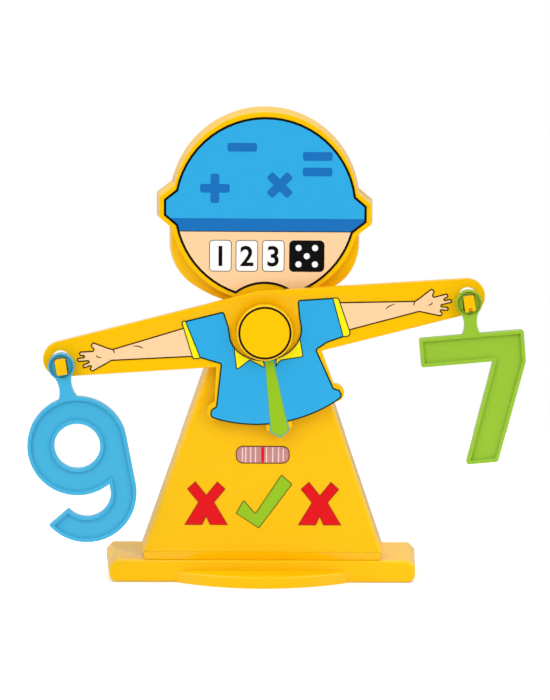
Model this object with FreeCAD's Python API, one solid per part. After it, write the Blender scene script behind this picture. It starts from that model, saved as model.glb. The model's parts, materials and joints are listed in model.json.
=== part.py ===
# Number balance in the shape of a child figure, moulded in plastic.
# Lengths in millimetres, angles in degrees. X is to the right as the figure is seen,
# Y runs away from the viewer and Z is up. The origin is on the floor, in the middle of
# the base. The pieces are drawn from the plane of the figure's front panel and moved back
# into that frame when they are written.
import FreeCAD
import Part

import math
import os

Vector = FreeCAD.Vector
ACROSS = Vector(1, 0, 0)
BACKWARD = Vector(0, 1, 0)
UP = Vector(0, 0, 1)

# Whole toy
pivot_height = 221.6
beam_tilt = 9.2
overrun = 1.0
label_thickness = 0.3

# Wall thicknesses and running clearances
shell_wall = 2.2
base_wall = 2.4
fit_clearance = 0.2
cover_clearance = 0.25
bore_clearance = 0.08
screw_clearance = 0.05
beam_end_play = 0.5

# Base
base_width = 273.6
base_depth = 76.0
base_height = 19.8
base_front = 2.5
base_widening = 4.6
base_end_chamfer = 5.6
base_bottom_edge = 6.8
base_front_edge = 2.4
lip_width = 147.0
lip_reach = 23.5
lip_height = 10.2
lip_edge = 1.6
base_rib_thickness = 1.8
base_rib_pitch = 44.0

# Figure: body panel, drafted towards the back, on a chamfered foot
figure_depth = 30.0
figure_draft = 2.8
foot_height = 8.4
foot_inset = 4.2
body_half_width = 105.5
body_side_slope_share = 0.3445
body_edge = 3.6
neck_rise = 30.0

# Figure: head, a dome over straight sides and a flattened chin
head_draft = 2.6
dome_radius = 81.6
dome_rise = 107.0
head_side_drop = 35.5
cheek_radius = 42.0
cheek_angle = 55.0
head_setback = 6.0
plate_radius = 81.1
plate_rise = 104.3
brim_reach = 92.6
brim_rise = 102.0
brim_root_half_height = 19.0
brim_tip_half_height = 10.0
brim_root_reach = 70.0
brim_fall_share = 0.03

# Tongue under the figure, plugged into the base
tongue_half_width = 84.0
tongue_front = 8.0
tongue_depth = 18.0
tongue_length = 14.0
tongue_wall = 2.2
socket_wall = 2.0
socket_floor = 2.3
base_screw_share = 0.25

# Pivot
axle_radius = 12.0
axle_wall = 3.6
axle_shoulder = 2.4
cap_radius = 24.0
cap_thickness = 2.2
cap_wall = 2.0
cap_front = 20.0
cap_edge = 1.4
cap_gap = 0.4
hub_label_radius = 22.5

# Screws
screw_radius = 1.5
screw_head_radius = 3.0
screw_head_height = 1.8
screw_boss_wall = 2.6
cover_screw_length = 10.0
base_screw_length = 10.0
pivot_screw_length = 14.0
washer_radius = 5.6
washer_thickness = 0.8

# Rear cover
cover_thickness = 2.2
cover_rim_height = 3.0
cover_rim_wall = 1.6
cover_rib_thickness = 1.6
cover_rib_height = 4.0
screw_sink = 0.6
cup_wall = 1.4
cup_floor = 1.6
body_screw_inset = 12.0
body_screw_low_rise = 30.0
body_screw_high_rise = 118.0
head_screw_reach = 58.0
head_screw_rise = 18.0

# Beam, one moulding with the shirt plate and the pointer
beam_front = 11.5
beam_depth = 7.5
beam_web = 2.5
beam_wall = 2.0
arm_reach = 175.0
arm_rise = 3.4
arm_end_radius = 15.0
arm_root_half_height = 31.3
hub_plate_radius = 34.0
shirt_top_half_width = 43.5
shirt_top_drop = 14.0
shirt_bottom_half_width = 52.5
shirt_side_drop = 59.0
shirt_hem_inset = 1.0
shirt_hem_drop = 68.5
shirt_hem_centre_drop = 80.0
hem_flare_radius = 7.6
hem_flare_drop = 61.5
pointer_root_half_width = 7.5
pointer_root_drop = 34.0
pointer_tip_half_width = 11.3
pointer_side_drop = 84.0
pointer_tip_drop = 94.0
beam_rib_thickness = 1.6
beam_rib_gap_share = 0.25
beam_rib_count = 3
hub_sleeve_wall = 3.0
dish_depth = 1.0
dish_wall_width = 2.2

# Stop pin on the beam, between two posts on the figure
stop_radius = 3.0
stop_orbit = 45.0
stop_gap = 0.15

# Pegs, and the moon-shaped hole above each
peg_width = 9.0
peg_height = 13.5
peg_corner = 1.2
peg_front = 25.0
peg_drop = 5.0
peg_notch_width = 3.4
peg_notch_height = 3.0
hole_radius = 7.7

# Hanging numbers
digit_depth = 8.0
digit_gap = 0.5
digit_rim = 3.0
digit_recess = 2.4
eye_radius = 11.2
eye_rim = 1.3
eye_side_play = 0.55
eye_lift_play = 0.35
eye_corner = 1.4
neck_half_width = 5.3
neck_flare = 3.0
nine_lean = 1.9
nine_drop = 70.0
nine_bowl_radius = 42.5
nine_bowl_hole_radius = 19.5
nine_stem_height = 41.6
nine_stroke = 22.0
nine_tail_sweep = 150.0
nine_web = 1.9
nine_value = 9
seven_lean = -3.9
seven_drop = 26.7
seven_half_width = 44.5
seven_bar_height = 24.7
seven_shoulder_drop = 2.2
seven_length = 111.8
seven_foot_left = 13.2
seven_foot_right = 14.4
seven_inner_corner = 16.6
seven_corner = 2.0
seven_value = 7

# Printed labels
label_border = 3.7
chin_notch_radius = 39.5
neckline_radius = 31.3
sleeve_reach = 69.0
sleeve_top = 17.2
sleeve_bottom = 12.0
shoulder_reach = 31.0
shoulder_rise = 24.0
underarm_reach = 40.5
underarm_drop = 21.0
label_edge = 3.2
forearm_half_height = 11.2
wrist_half_height = 4.6
wrist_to_peg = 44.0
palm_radius = 7.8
palm_to_peg = 34.0
fingers_to_peg = 21.5
finger_radius = 4.4
thumb_root_to_peg = 35.0
thumb_tip_to_peg = 36.5
thumb_rise = 11.4
thumb_radius = 2.9
scale_width = 46.0
scale_height = 15.8
scale_rise = 111.9
scale_corner_share = 0.75
mark_rise = 69.6
cross_reach = 49.0
cross_width = 38.0
cross_height = 39.0
cross_bar = 11.0
tick_width = 48.0
tick_height = 48.0
tick_bar = 13.0
tick_elbow_share = 0.34
tick_short_share = 0.52
tick_inner_share = 0.25


# Values worked out from the sizes above
draft_slope = figure_draft / figure_depth
head_slope = head_draft / figure_depth
beam_back = beam_front - beam_depth
axle_front = beam_front + beam_end_play
cap_skirt_back = beam_front + cap_gap
shirt_hem_half_width = shirt_bottom_half_width - shirt_hem_inset
wrist_reach = arm_reach - wrist_to_peg
palm_reach = arm_reach - palm_to_peg
finger_reach = arm_reach - fingers_to_peg
thumb_root_reach = arm_reach - thumb_root_to_peg
thumb_tip_reach = arm_reach - thumb_tip_to_peg
head_side_rise = dome_rise - head_side_drop
foot_top = base_height + foot_height
head_middle = pivot_height + dome_rise
plate_middle = pivot_height + plate_rise
brim_middle = pivot_height + brim_rise
cover_front = figure_depth - cover_thickness
pilot_radius = screw_radius + screw_clearance
screw_boss_radius = pilot_radius + screw_boss_wall
screw_hole_radius = screw_radius + fit_clearance
screw_recess_radius = screw_head_radius + fit_clearance
cup_depth = screw_head_height + screw_sink
cup_radius = screw_recess_radius + cup_wall
boss_top = figure_depth - cup_depth - cup_floor


def at(x, z, y=0.0):
    """Point of the front view, at a depth y."""
    return Vector(x, y, z)


def turned(x, z, angle):
    """Point x, z turned anticlockwise about the origin, as seen from the front."""
    turn = math.radians(angle)
    return x * math.cos(turn) - z * math.sin(turn), x * math.sin(turn) + z * math.cos(turn)


def polygon_wire(points):
    """Closed wire through front-view points."""
    corners = [at(x, z) for x, z in points]
    return Part.makePolygon(corners + corners[:1])


def rounded_wire(points, radii):
    """Closed front-view wire whose corners are rounded, each with its own radius."""
    if not isinstance(radii, (list, tuple)):
        radii = [radii] * len(points)
    corners = [at(x, z) for x, z in points]
    arcs = []
    for i, corner in enumerate(corners):
        to_last = (corners[i - 1] - corner).normalize()
        to_next = (corners[(i + 1) % len(corners)] - corner).normalize()
        half = to_last.getAngle(to_next) / 2
        radius = radii[i]
        if radius == 0:
            arcs.append((corner, None, corner))
            continue
        setback = radius / math.tan(half)
        bisector = (to_last + to_next).normalize()
        middle = corner + bisector * (radius / math.sin(half) - radius)
        arcs.append((corner + to_last * setback, middle, corner + to_next * setback))
    edges = []
    for i, (start, middle, end) in enumerate(arcs):
        if middle is not None:
            edges.append(Part.Arc(start, middle, end).toShape())
        following = arcs[(i + 1) % len(arcs)][0]
        edges.append(Part.makeLine(end, following))
    return Part.Wire(edges)


def slab(wire, front, back):
    """Solid of a front-view outline between two depths."""
    face = Part.Face(wire)
    face.translate(BACKWARD * front)
    return face.extrude(BACKWARD * (back - front))


def inset_slab(wire, inset, front, back):
    """Solid of a convex front-view outline, drawn in all round by an inset."""
    if inset == 0:
        return slab(wire, front, back)
    face = Part.Face(wire).makeOffset2D(-inset)
    return slab(face.Wires[0], front, back)


def disc(x, z, radius, front, back):
    """Round solid whose axis runs front to back."""
    return Part.makeCylinder(radius, back - front, at(x, z, front), BACKWARD)


def block(x0, x1, y0, y1, z0, z1):
    """Box between two corners."""
    return Part.makeBox(x1 - x0, y1 - y0, z1 - z0, Vector(x0, y0, z0))


def united(shapes):
    """One solid from several that touch or overlap."""
    whole = shapes[0].multiFuse(shapes[1:])
    return whole.removeSplitter()


def mirrored(shape):
    """Copy of a shape on the other side of the middle plane."""
    return shape.mirror(Vector(0, 0, 0), ACROSS)


def screw(length, head_at, direction):
    """Screw whose head stands on head_at and whose shank runs along direction."""
    head = Part.makeCylinder(screw_head_radius, screw_head_height, head_at, -direction)
    shank = Part.makeCylinder(screw_radius, length, head_at, direction)
    return united([head, shank])


# Base


def base_form(inset, bottom):
    """Base block, wider at the back, with chamfered ends, drawn in all round by an inset."""
    half = base_width / 2 - inset
    front = base_front + inset
    back = base_front + base_depth - inset
    top = base_height - inset
    plan = polygon_wire([(base_widening - half, front), (half - base_widening, front),
                         (half, back), (-half, back)])
    plan.rotate(Vector(0, 0, 0), ACROSS, -90)
    plan.translate(UP * bottom)
    whole = Part.Face(plan).extrude(UP * (top - bottom))
    whole = whole.makeChamfer(base_end_chamfer - inset / 2, end_edges(whole, top))
    if inset == 0:
        whole = whole.makeFillet(base_bottom_edge, end_edges(whole, bottom))
        rim = [e for e in whole.Edges
               if e.BoundBox.YMax < front + overrun and e.BoundBox.ZMax > bottom + overrun]
        whole = whole.makeFillet(base_front_edge, rim)
    return whole


def end_edges(whole, height):
    """Edges of the base block that run front to back at a height."""
    return [e for e in whole.Edges if e.BoundBox.YLength > base_depth / 2
            and abs(e.BoundBox.ZMin - height) + abs(e.BoundBox.ZMax - height) < overrun]


def lip_form(inset, bottom):
    """Crescent lip in front of the base."""
    half = lip_width / 2
    radius = (half ** 2 + lip_reach ** 2) / (2 * lip_reach)
    centre_y = base_front - lip_reach + radius
    top = lip_height - inset
    round_block = Part.makeCylinder(radius - inset, top - bottom, Vector(0, centre_y, bottom), UP)
    if inset == 0:
        rim = [e for e in round_block.Edges if e.BoundBox.ZMin > top - lip_edge and e.Closed]
        round_block = round_block.makeFillet(lip_edge, rim)
    keep = block(-half - overrun, half + overrun, base_front - lip_reach - overrun,
                 base_front + base_wall + inset, bottom - overrun, top + overrun)
    return round_block.common(keep)


def screw_places():
    """Places across the base of the screws that hold the figure's tongue."""
    step = 2 * tongue_half_width * base_screw_share
    return [-3 * step / 2, -step / 2, step / 2, 3 * step / 2]


def base_housing():
    """Hollow base with the socket for the tongue, ribbed below."""
    whole = base_form(0.0, 0.0).fuse(lip_form(0.0, 0.0))
    hollow = base_form(base_wall, -overrun).fuse(lip_form(base_wall, -overrun))
    shell = whole.cut(hollow)
    back = base_front + base_depth
    half = tongue_half_width + fit_clearance
    front = tongue_front - fit_clearance
    rear = tongue_front + tongue_depth + fit_clearance
    depth = tongue_length + fit_clearance
    floor_top = base_height - depth
    floor_bottom = floor_top - socket_floor
    sleeve = block(-half - socket_wall, half + socket_wall, front - socket_wall,
                   rear + socket_wall, floor_bottom, base_height - base_wall / 2)
    ribs = []
    rib_half = base_rib_thickness / 2
    count = int((base_width / 2 - base_end_chamfer) / base_rib_pitch)
    for i in range(-count, count + 1):
        x = i * base_rib_pitch
        start = rear if abs(x) < half else base_front + base_wall / 2
        low = 0.0 if i == 0 else floor_bottom
        ribs.append(block(x - rib_half, x + rib_half, start, back - base_wall / 2,
                          low, base_height - base_wall / 2))
    middle = (rear + back) / 2
    reach = base_width / 2 - base_widening
    ribs.append(block(-reach, reach,
                      middle - rib_half, middle + rib_half,
                      floor_bottom, base_height - base_wall / 2))
    shell = united([shell, sleeve] + ribs)
    shell = shell.cut(block(-half, half, front, rear, floor_top, base_height + overrun))
    centre = tongue_front + tongue_depth / 2
    for x in screw_places():
        hole = Part.makeCylinder(screw_hole_radius, depth, Vector(x, centre, -overrun), UP)
        shell = shell.cut(hole)
    return shell


# Figure


def body_half(z):
    """Half width of the body panel's back edge at a height."""
    return body_half_width - body_side_slope_share * (z - foot_top)


def foot_fall(inset):
    """How far the foot falls back at its lowest edge, drawn in by an inset."""
    return foot_inset * (foot_height - inset) / foot_height


def body_points(inset, shrink):
    """Outline of the body: the foot widens to the body, which narrows to the neck."""
    low = base_height + inset
    high = pivot_height + neck_rise
    low_half = body_half(low) - foot_fall(inset) - shrink
    foot_half = body_half(foot_top) - shrink
    high_half = body_half(high) - shrink
    return [(-low_half, low), (low_half, low), (foot_half, foot_top), (high_half, high),
            (-high_half, high), (-foot_half, foot_top)]


def body_form(inset, back):
    """Body panel on its foot, drawn in by an inset."""
    front_shrink = inset + draft_slope * (figure_depth - inset)
    back_shrink = inset + draft_slope * (figure_depth - back)
    panel = drafted(polygon_wire(body_points(inset, front_shrink)), inset,
                    polygon_wire(body_points(inset, back_shrink)), back)
    if inset == 0:
        sides = [e for e in panel.Edges if e.BoundBox.YMax < overrun and e.BoundBox.ZLength > overrun]
        panel = panel.makeFillet(body_edge, sides)
    low = base_height + inset
    chamfer = [Vector(0, inset, foot_top), Vector(0, inset + foot_fall(inset), low),
               Vector(0, inset + foot_fall(inset), low - overrun),
               Vector(0, inset - overrun, low - overrun), Vector(0, inset - overrun, foot_top)]
    wedge = Part.Face(Part.makePolygon(chamfer + chamfer[:1]))
    wedge.translate(ACROSS * -2 * body_half_width)
    return panel.cut(wedge.extrude(ACROSS * 4 * body_half_width))


def head_wire(grow):
    """Outline of the head's rear shell: dome, straight sides, cheeks and chin."""
    radius = dome_radius + grow
    cheek = cheek_radius + grow
    side_z = pivot_height + head_side_rise
    cheek_x = dome_radius - cheek_radius
    turn = math.radians(cheek_angle)
    chin_z = side_z + cheek_x * math.tan(turn)
    chin_radius = cheek + cheek_x / math.cos(turn)
    half_turn = turn / 2

    def cheek_point(side, angle):
        return at(side * (cheek_x + cheek * math.cos(angle)), side_z - cheek * math.sin(angle))

    right, left = at(radius, head_middle), at(-radius, head_middle)
    edges = [Part.Arc(right, at(0, head_middle + radius), left).toShape(),
             Part.makeLine(left, cheek_point(-1, 0)),
             Part.Arc(cheek_point(-1, 0), cheek_point(-1, half_turn),
                      cheek_point(-1, turn)).toShape(),
             Part.Arc(cheek_point(-1, turn), at(0, chin_z - chin_radius),
                      cheek_point(1, turn)).toShape(),
             Part.Arc(cheek_point(1, turn), cheek_point(1, half_turn),
                      cheek_point(1, 0)).toShape(),
             Part.makeLine(cheek_point(1, 0), right)]
    return Part.Wire(edges)


def brim_points(grow):
    """Corners of the cap's slightly slanting brim, which stands out on both sides of the head."""
    tip = brim_reach + grow
    slope = (brim_root_half_height - brim_tip_half_height) / (brim_reach - dome_radius)
    widening = grow * math.hypot(1, slope)
    tip_half = brim_tip_half_height - slope * grow + widening
    root_half = brim_tip_half_height + slope * (brim_reach - brim_root_reach) + widening
    points = [(-brim_root_reach, -root_half), (brim_root_reach, -root_half), (tip, -tip_half),
              (tip, tip_half), (brim_root_reach, root_half), (-brim_root_reach, root_half),
              (-tip, tip_half), (-tip, -tip_half)]
    return [(x, z + brim_middle - brim_fall_share * x) for x, z in points]


def drafted(front_wire, front, back_wire, back):
    """Solid between a smaller front outline and a larger back outline."""
    first = front_wire.copy()
    first.translate(BACKWARD * front)
    last = back_wire.copy()
    last.translate(BACKWARD * back)
    return Part.makeLoft([first, last], True, True)


def draft_at(y):
    """How far an outline of the head is drawn in at a depth."""
    return head_slope * (y - figure_depth)


def head_form(inset, back):
    """Head: rear shell with a raised round front plate, and the brim, drawn in by an inset."""
    shell = drafted(head_wire(draft_at(inset) - inset), inset,
                    head_wire(draft_at(back) - inset), back)
    step = block(-2 * dome_radius, 2 * dome_radius, inset - overrun, head_setback + inset,
                 0.0, brim_middle)
    step = step.cut(disc(0, plate_middle, plate_radius - inset, inset - 2 * overrun, back))
    brim = drafted(polygon_wire(brim_points(draft_at(inset) - inset)), inset,
                   polygon_wire(brim_points(draft_at(back) - inset)), back)
    return shell.cut(step).fuse(brim)


def cover_screw_points():
    """Front-view places of the screws that hold the rear cover."""
    points = []
    for rise in (body_screw_low_rise, body_screw_high_rise):
        z = base_height + rise
        reach = body_half(z) - figure_draft - body_screw_inset
        points += [(-reach, z), (reach, z)]
    z = head_middle - head_screw_rise
    return points + [(-head_screw_reach, z), (head_screw_reach, z)]


def stop_point(side):
    """Place of a stop post: the pin meets it when the beam is fully tilted."""
    spacing = 2 * stop_radius + stop_gap
    step = 2 * math.degrees(math.asin(spacing / (2 * stop_orbit)))
    x, z = turned(0, -stop_orbit, side * (beam_tilt + step))
    return x, pivot_height + z


def front_shell():
    """Body and head in one hollow moulding, with the axle, the stops and the tongue."""
    outer = united([body_form(0.0, figure_depth), head_form(0.0, figure_depth)])
    opening = figure_depth + overrun
    hollow = united([body_form(shell_wall, opening), head_form(shell_wall, opening)])
    shell = outer.cut(hollow)
    tongue_back = tongue_front + tongue_depth
    tongue_bottom = base_height - tongue_length
    floor_top = base_height + shell_wall
    added = [block(-tongue_half_width, tongue_half_width, tongue_front, tongue_back,
                   tongue_bottom, base_height + shell_wall / 2)]
    added.append(disc(0, pivot_height, axle_radius, -axle_front, shell_wall / 2))
    added.append(disc(0, pivot_height, axle_radius, shell_wall / 2, shell_wall + axle_shoulder))
    for side in (-1, 1):
        x, z = stop_point(side)
        added.append(disc(x, z, stop_radius, -beam_front + beam_web + beam_end_play, shell_wall / 2))
    for x, z in cover_screw_points():
        added.append(disc(x, z, screw_boss_radius, shell_wall / 2, boss_top))
    shell = united([shell] + added)
    shell = shell.cut(block(-tongue_half_width + tongue_wall, tongue_half_width - tongue_wall,
                            tongue_front + tongue_wall, tongue_back - tongue_wall,
                            tongue_bottom - overrun, base_height))
    posts = []
    centre = tongue_front + tongue_depth / 2
    for x in screw_places():
        posts.append(Part.makeCylinder(screw_boss_radius, floor_top - tongue_bottom,
                                       Vector(x, centre, tongue_bottom), UP))
    shell = united([shell] + posts)
    for x in screw_places():
        hole_top = tongue_bottom + base_screw_length
        shell = shell.cut(Part.makeCylinder(pilot_radius, hole_top - tongue_bottom + overrun,
                                            Vector(x, centre, tongue_bottom - overrun), UP))
    for x, z in cover_screw_points():
        shell = shell.cut(disc(x, z, pilot_radius, boss_top - cover_screw_length, figure_depth))
    socket_radius = axle_radius - axle_wall
    shell = shell.cut(disc(0, pivot_height, socket_radius, -axle_front - overrun, -axle_shoulder))
    return shell.cut(disc(0, pivot_height, screw_hole_radius, -axle_front, figure_depth))


def rear_cover():
    """Flat cover let into the back of the figure, with a rim, ribs and screw holes."""
    inset = shell_wall + cover_clearance

    def outline(shrink, front, back):
        body = body_points(inset + shrink,
                           inset + shrink + draft_slope * (figure_depth - front))
        grow = draft_at(front) - inset - shrink
        return united([slab(polygon_wire(body), front, back),
                       slab(head_wire(grow), front, back),
                       slab(polygon_wire(brim_points(grow)), front, back)])

    plate = outline(0.0, cover_front, figure_depth)
    rim_front = cover_front - cover_rim_height
    rim = outline(0.0, rim_front, cover_front + cover_thickness / 2)
    rim = rim.cut(outline(cover_rim_wall, rim_front - overrun, figure_depth))
    rib_front = cover_front - cover_rib_height
    half = cover_rib_thickness / 2
    ribs = [block(-half, half, rib_front, figure_depth - cover_thickness / 2,
                  base_height + body_screw_inset, head_middle + dome_radius - body_screw_inset)]
    for z in (base_height + body_screw_low_rise * 2, pivot_height - neck_rise, head_middle):
        reach = body_half(min(z, pivot_height)) - body_screw_inset
        ribs.append(block(-reach, reach, rib_front, figure_depth - cover_thickness / 2,
                          z - half, z + half))
    cups = [disc(x, z, cup_radius, boss_top, figure_depth) for x, z in cover_screw_points()]
    cover = united([plate, rim] + ribs + cups)
    for x, z in cover_screw_points():
        cover = cover.cut(disc(x, z, screw_recess_radius, boss_top + cup_floor,
                               figure_depth + overrun))
        cover = cover.cut(disc(x, z, screw_hole_radius, boss_top - overrun, figure_depth))
    return cover


# Pivot


def hub_cap():
    """Round cap on the axle, which keeps the beam on; its post takes the pivot screw."""
    dome = disc(0, pivot_height, cap_radius, -cap_front, -cap_skirt_back)
    rim = [e for e in dome.Edges if e.Closed and e.BoundBox.YMax < -cap_front + cap_edge]
    dome = dome.makeFillet(cap_edge, rim)
    hollow = disc(0, pivot_height, cap_radius - cap_wall, -cap_front + cap_thickness, 0.0)
    post_radius = axle_radius - axle_wall - fit_clearance
    post = disc(0, pivot_height, post_radius, -cap_front + cap_thickness / 2, -axle_shoulder)
    collar = disc(0, pivot_height, axle_radius, -cap_front + cap_thickness / 2, -axle_front)
    cap = united([dome.cut(hollow), collar, post])
    return cap.cut(disc(0, pivot_height, pilot_radius,
                        -axle_shoulder - pivot_screw_length, 0.0))


def pivot_washer():
    """Washer under the head of the pivot screw, inside the figure."""
    front = shell_wall + axle_shoulder
    ring = disc(0, pivot_height, washer_radius, front, front + washer_thickness)
    return ring.cut(disc(0, pivot_height, screw_hole_radius, front - overrun,
                         front + washer_thickness + overrun))


def pivot_screw():
    """Screw from inside the figure into the cap's post."""
    head_at = at(0, pivot_height, shell_wall + axle_shoulder + washer_thickness)
    return screw(pivot_screw_length, head_at, -BACKWARD)


def cover_screws():
    """Screws through the rear cover."""
    head_y = boss_top + cup_floor
    return Part.makeCompound([screw(cover_screw_length, at(x, z, head_y), -BACKWARD)
                              for x, z in cover_screw_points()])


def base_screws():
    """Screws from below the base into the figure's tongue."""
    centre = tongue_front + tongue_depth / 2
    head_z = base_height - tongue_length - fit_clearance - socket_floor
    return Part.makeCompound([screw(base_screw_length, Vector(x, centre, head_z), UP)
                              for x in screw_places()])


# Beam, drawn level about its pivot and tilted afterwards


def tilted(shape, lean=0.0):
    """Shape of the beam, moved from the level drawing to the tilted beam."""
    turned_shape = shape.copy()
    turned_shape.rotate(Vector(0, 0, 0), BACKWARD, -beam_tilt - lean)
    turned_shape.translate(UP * pivot_height)
    return turned_shape


def arm_wire(grow):
    """Outline of both arms: straight tapers tangent to the round ends."""
    radius = arm_end_radius + grow
    slope = math.asin((arm_root_half_height - arm_end_radius) / arm_reach)
    tangent_x = arm_reach + radius * math.sin(slope)
    tangent_z = radius * math.cos(slope)
    root_z = tangent_z + tangent_x * math.tan(slope)
    tip = arm_reach + radius
    top = [at(-tangent_x, arm_rise + tangent_z), at(0, arm_rise + root_z),
           at(tangent_x, arm_rise + tangent_z)]
    low = [at(tangent_x, arm_rise - tangent_z), at(0, arm_rise - root_z),
           at(-tangent_x, arm_rise - tangent_z)]
    edges = [Part.makeLine(top[0], top[1]), Part.makeLine(top[1], top[2]),
             Part.Arc(top[2], at(tip, arm_rise), low[0]).toShape(),
             Part.makeLine(low[0], low[1]), Part.makeLine(low[1], low[2]),
             Part.Arc(low[2], at(-tip, arm_rise), top[0]).toShape()]
    return Part.Wire(edges)


def shirt_wire():
    """Outline of the shirt plate: widening sides and a curved hem."""
    edges = [Part.makeLine(at(-shirt_top_half_width, -shirt_top_drop),
                           at(shirt_top_half_width, -shirt_top_drop)),
             Part.makeLine(at(shirt_top_half_width, -shirt_top_drop),
                           at(shirt_bottom_half_width, -shirt_side_drop)),
             Part.makeLine(at(shirt_bottom_half_width, -shirt_side_drop),
                           at(shirt_hem_half_width, -shirt_hem_drop)),
             Part.Arc(at(shirt_hem_half_width, -shirt_hem_drop), at(0, -shirt_hem_centre_drop),
                      at(-shirt_hem_half_width, -shirt_hem_drop)).toShape(),
             Part.makeLine(at(-shirt_hem_half_width, -shirt_hem_drop),
                           at(-shirt_bottom_half_width, -shirt_side_drop)),
             Part.makeLine(at(-shirt_bottom_half_width, -shirt_side_drop),
                           at(-shirt_top_half_width, -shirt_top_drop))]
    return Part.Wire(edges)


def pointer_wire():
    """Outline of the pointer below the shirt."""
    return polygon_wire([(-pointer_root_half_width, -pointer_root_drop),
                         (pointer_root_half_width, -pointer_root_drop),
                         (pointer_tip_half_width, -pointer_side_drop), (0, -pointer_tip_drop),
                         (-pointer_tip_half_width, -pointer_side_drop)])


def shirt_form(inset, front, back):
    """Shirt plate with its flared hem corners and the pointer."""
    shapes = [inset_slab(shirt_wire(), inset, front, back),
              inset_slab(pointer_wire(), inset, front, back)]
    for side in (-1, 1):
        shapes.append(disc(side * shirt_hem_half_width, -hem_flare_drop, hem_flare_radius - inset,
                           front, back))
    return united(shapes)


def beam_form(inset, front, back):
    """Whole outline of the beam moulding, drawn in by an inset."""
    return united([slab(arm_wire(-inset), front, back),
                   disc(0, 0, hub_plate_radius - inset, front, back),
                   shirt_form(inset, front, back)])


def peg(side):
    """Rectangular peg that a number hangs on; the right one has a core notch below."""
    x = side * arm_reach
    z = arm_rise - peg_drop
    half_width = peg_width / 2
    half_height = peg_height / 2
    points = [(x - half_width, z - half_height), (x + half_width, z - half_height),
              (x + half_width, z + half_height), (x - half_width, z + half_height)]
    stub = slab(rounded_wire(points, peg_corner), -peg_front, -beam_back)
    if side > 0:
        notch = block(x - peg_notch_width / 2, x + peg_notch_width / 2,
                      -peg_front - overrun, -beam_front - digit_depth,
                      z - half_height - overrun, z - half_height + peg_notch_height)
        stub = stub.cut(notch)
    return stub


def balance_beam():
    """Beam with web, rim, ribs, hub sleeve, front dish, stop pin, moon holes and pegs."""
    whole = beam_form(0.0, -beam_front, -beam_back)
    pocket = beam_form(beam_wall, beam_web - beam_front, overrun)
    shell = whole.cut(pocket)
    sleeve_radius = axle_radius + bore_clearance + hub_sleeve_wall
    added = [disc(0, 0, sleeve_radius, -beam_front, -beam_end_play),
             disc(0, -stop_orbit, stop_radius, beam_web / 2 - beam_front, -beam_end_play)]
    half = beam_rib_thickness / 2
    for side in (-1, 1):
        start, end = sorted((side * axle_radius, side * arm_reach))
        added.append(block(start, end, beam_web / 2 - beam_front, -beam_back,
                           arm_rise - half, arm_rise + half))
        for i in range(1, beam_rib_count + 1):
            x = side * arm_reach * i * beam_rib_gap_share
            reach = arm_root_half_height - (arm_root_half_height - arm_end_radius) * abs(x) / arm_reach
            added.append(block(x - half, x + half, beam_web / 2 - beam_front, -beam_back,
                               arm_rise - reach + beam_wall / 2, arm_rise + reach - beam_wall / 2))
        added.append(disc(side * arm_reach, arm_rise, hole_radius + beam_wall,
                          beam_web / 2 - beam_front, -beam_back))
    shell = united([shell] + added)
    shell = shell.cut(disc(0, 0, axle_radius + bore_clearance, -beam_front - overrun, overrun))
    shell = shell.cut(Part.makeCone(neckline_radius, neckline_radius - dish_wall_width, dish_depth,
                                    at(0, 0, -beam_front), BACKWARD))
    for side in (-1, 1):
        x = side * arm_reach
        hole = disc(x, arm_rise, hole_radius, -beam_front - overrun, overrun)
        sill = block(x - hole_radius, x + hole_radius, -beam_front - overrun, overrun,
                     arm_rise - hole_radius - overrun, arm_rise - peg_drop + peg_height / 2)
        shell = shell.cut(hole.cut(sill))
    shell = united([shell, peg(-1), peg(1)])
    return tilted(shell)


# Hanging numbers, drawn about the middle of their eye


def eye_form():
    """Ring and neck that every number hangs by, with its sunk floor and peg window."""
    front = number_front()
    back = front + digit_depth
    ring = disc(0, 0, eye_radius, front, back)
    floor = disc(0, 0, eye_radius - eye_rim, front - overrun, front + digit_recess)
    return ring.cut(floor)


def neck_form(length):
    """Neck from the eye down to the number, flared at both ends."""
    front = number_front()
    low = -length - overrun
    wide = neck_half_width + neck_flare
    upper = -eye_radius * math.cos(math.asin(neck_half_width / eye_radius))
    waist = (upper - length) / 2
    right = Part.Arc(at(wide, upper + neck_flare), at(neck_half_width, waist), at(wide, low)).toShape()
    left = Part.Arc(at(-wide, low), at(-neck_half_width, waist), at(-wide, upper + neck_flare)).toShape()
    wire = Part.Wire([right, Part.makeLine(at(wide, low), at(-wide, low)), left,
                      Part.makeLine(at(-wide, upper + neck_flare), at(wide, upper + neck_flare))])
    neck = slab(wire, front, front + digit_depth)
    return neck.cut(disc(0, 0, eye_radius - eye_rim, front - overrun, front + digit_depth + overrun))


def window_form():
    """Peg window through the eye."""
    half_width = peg_width / 2 + eye_side_play
    half_height = peg_height / 2 + eye_lift_play
    points = [(-half_width, -half_height), (half_width, -half_height),
              (half_width, half_height), (-half_width, half_height)]
    return slab(rounded_wire(points, eye_corner), -peg_front, 0.0)


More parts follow.
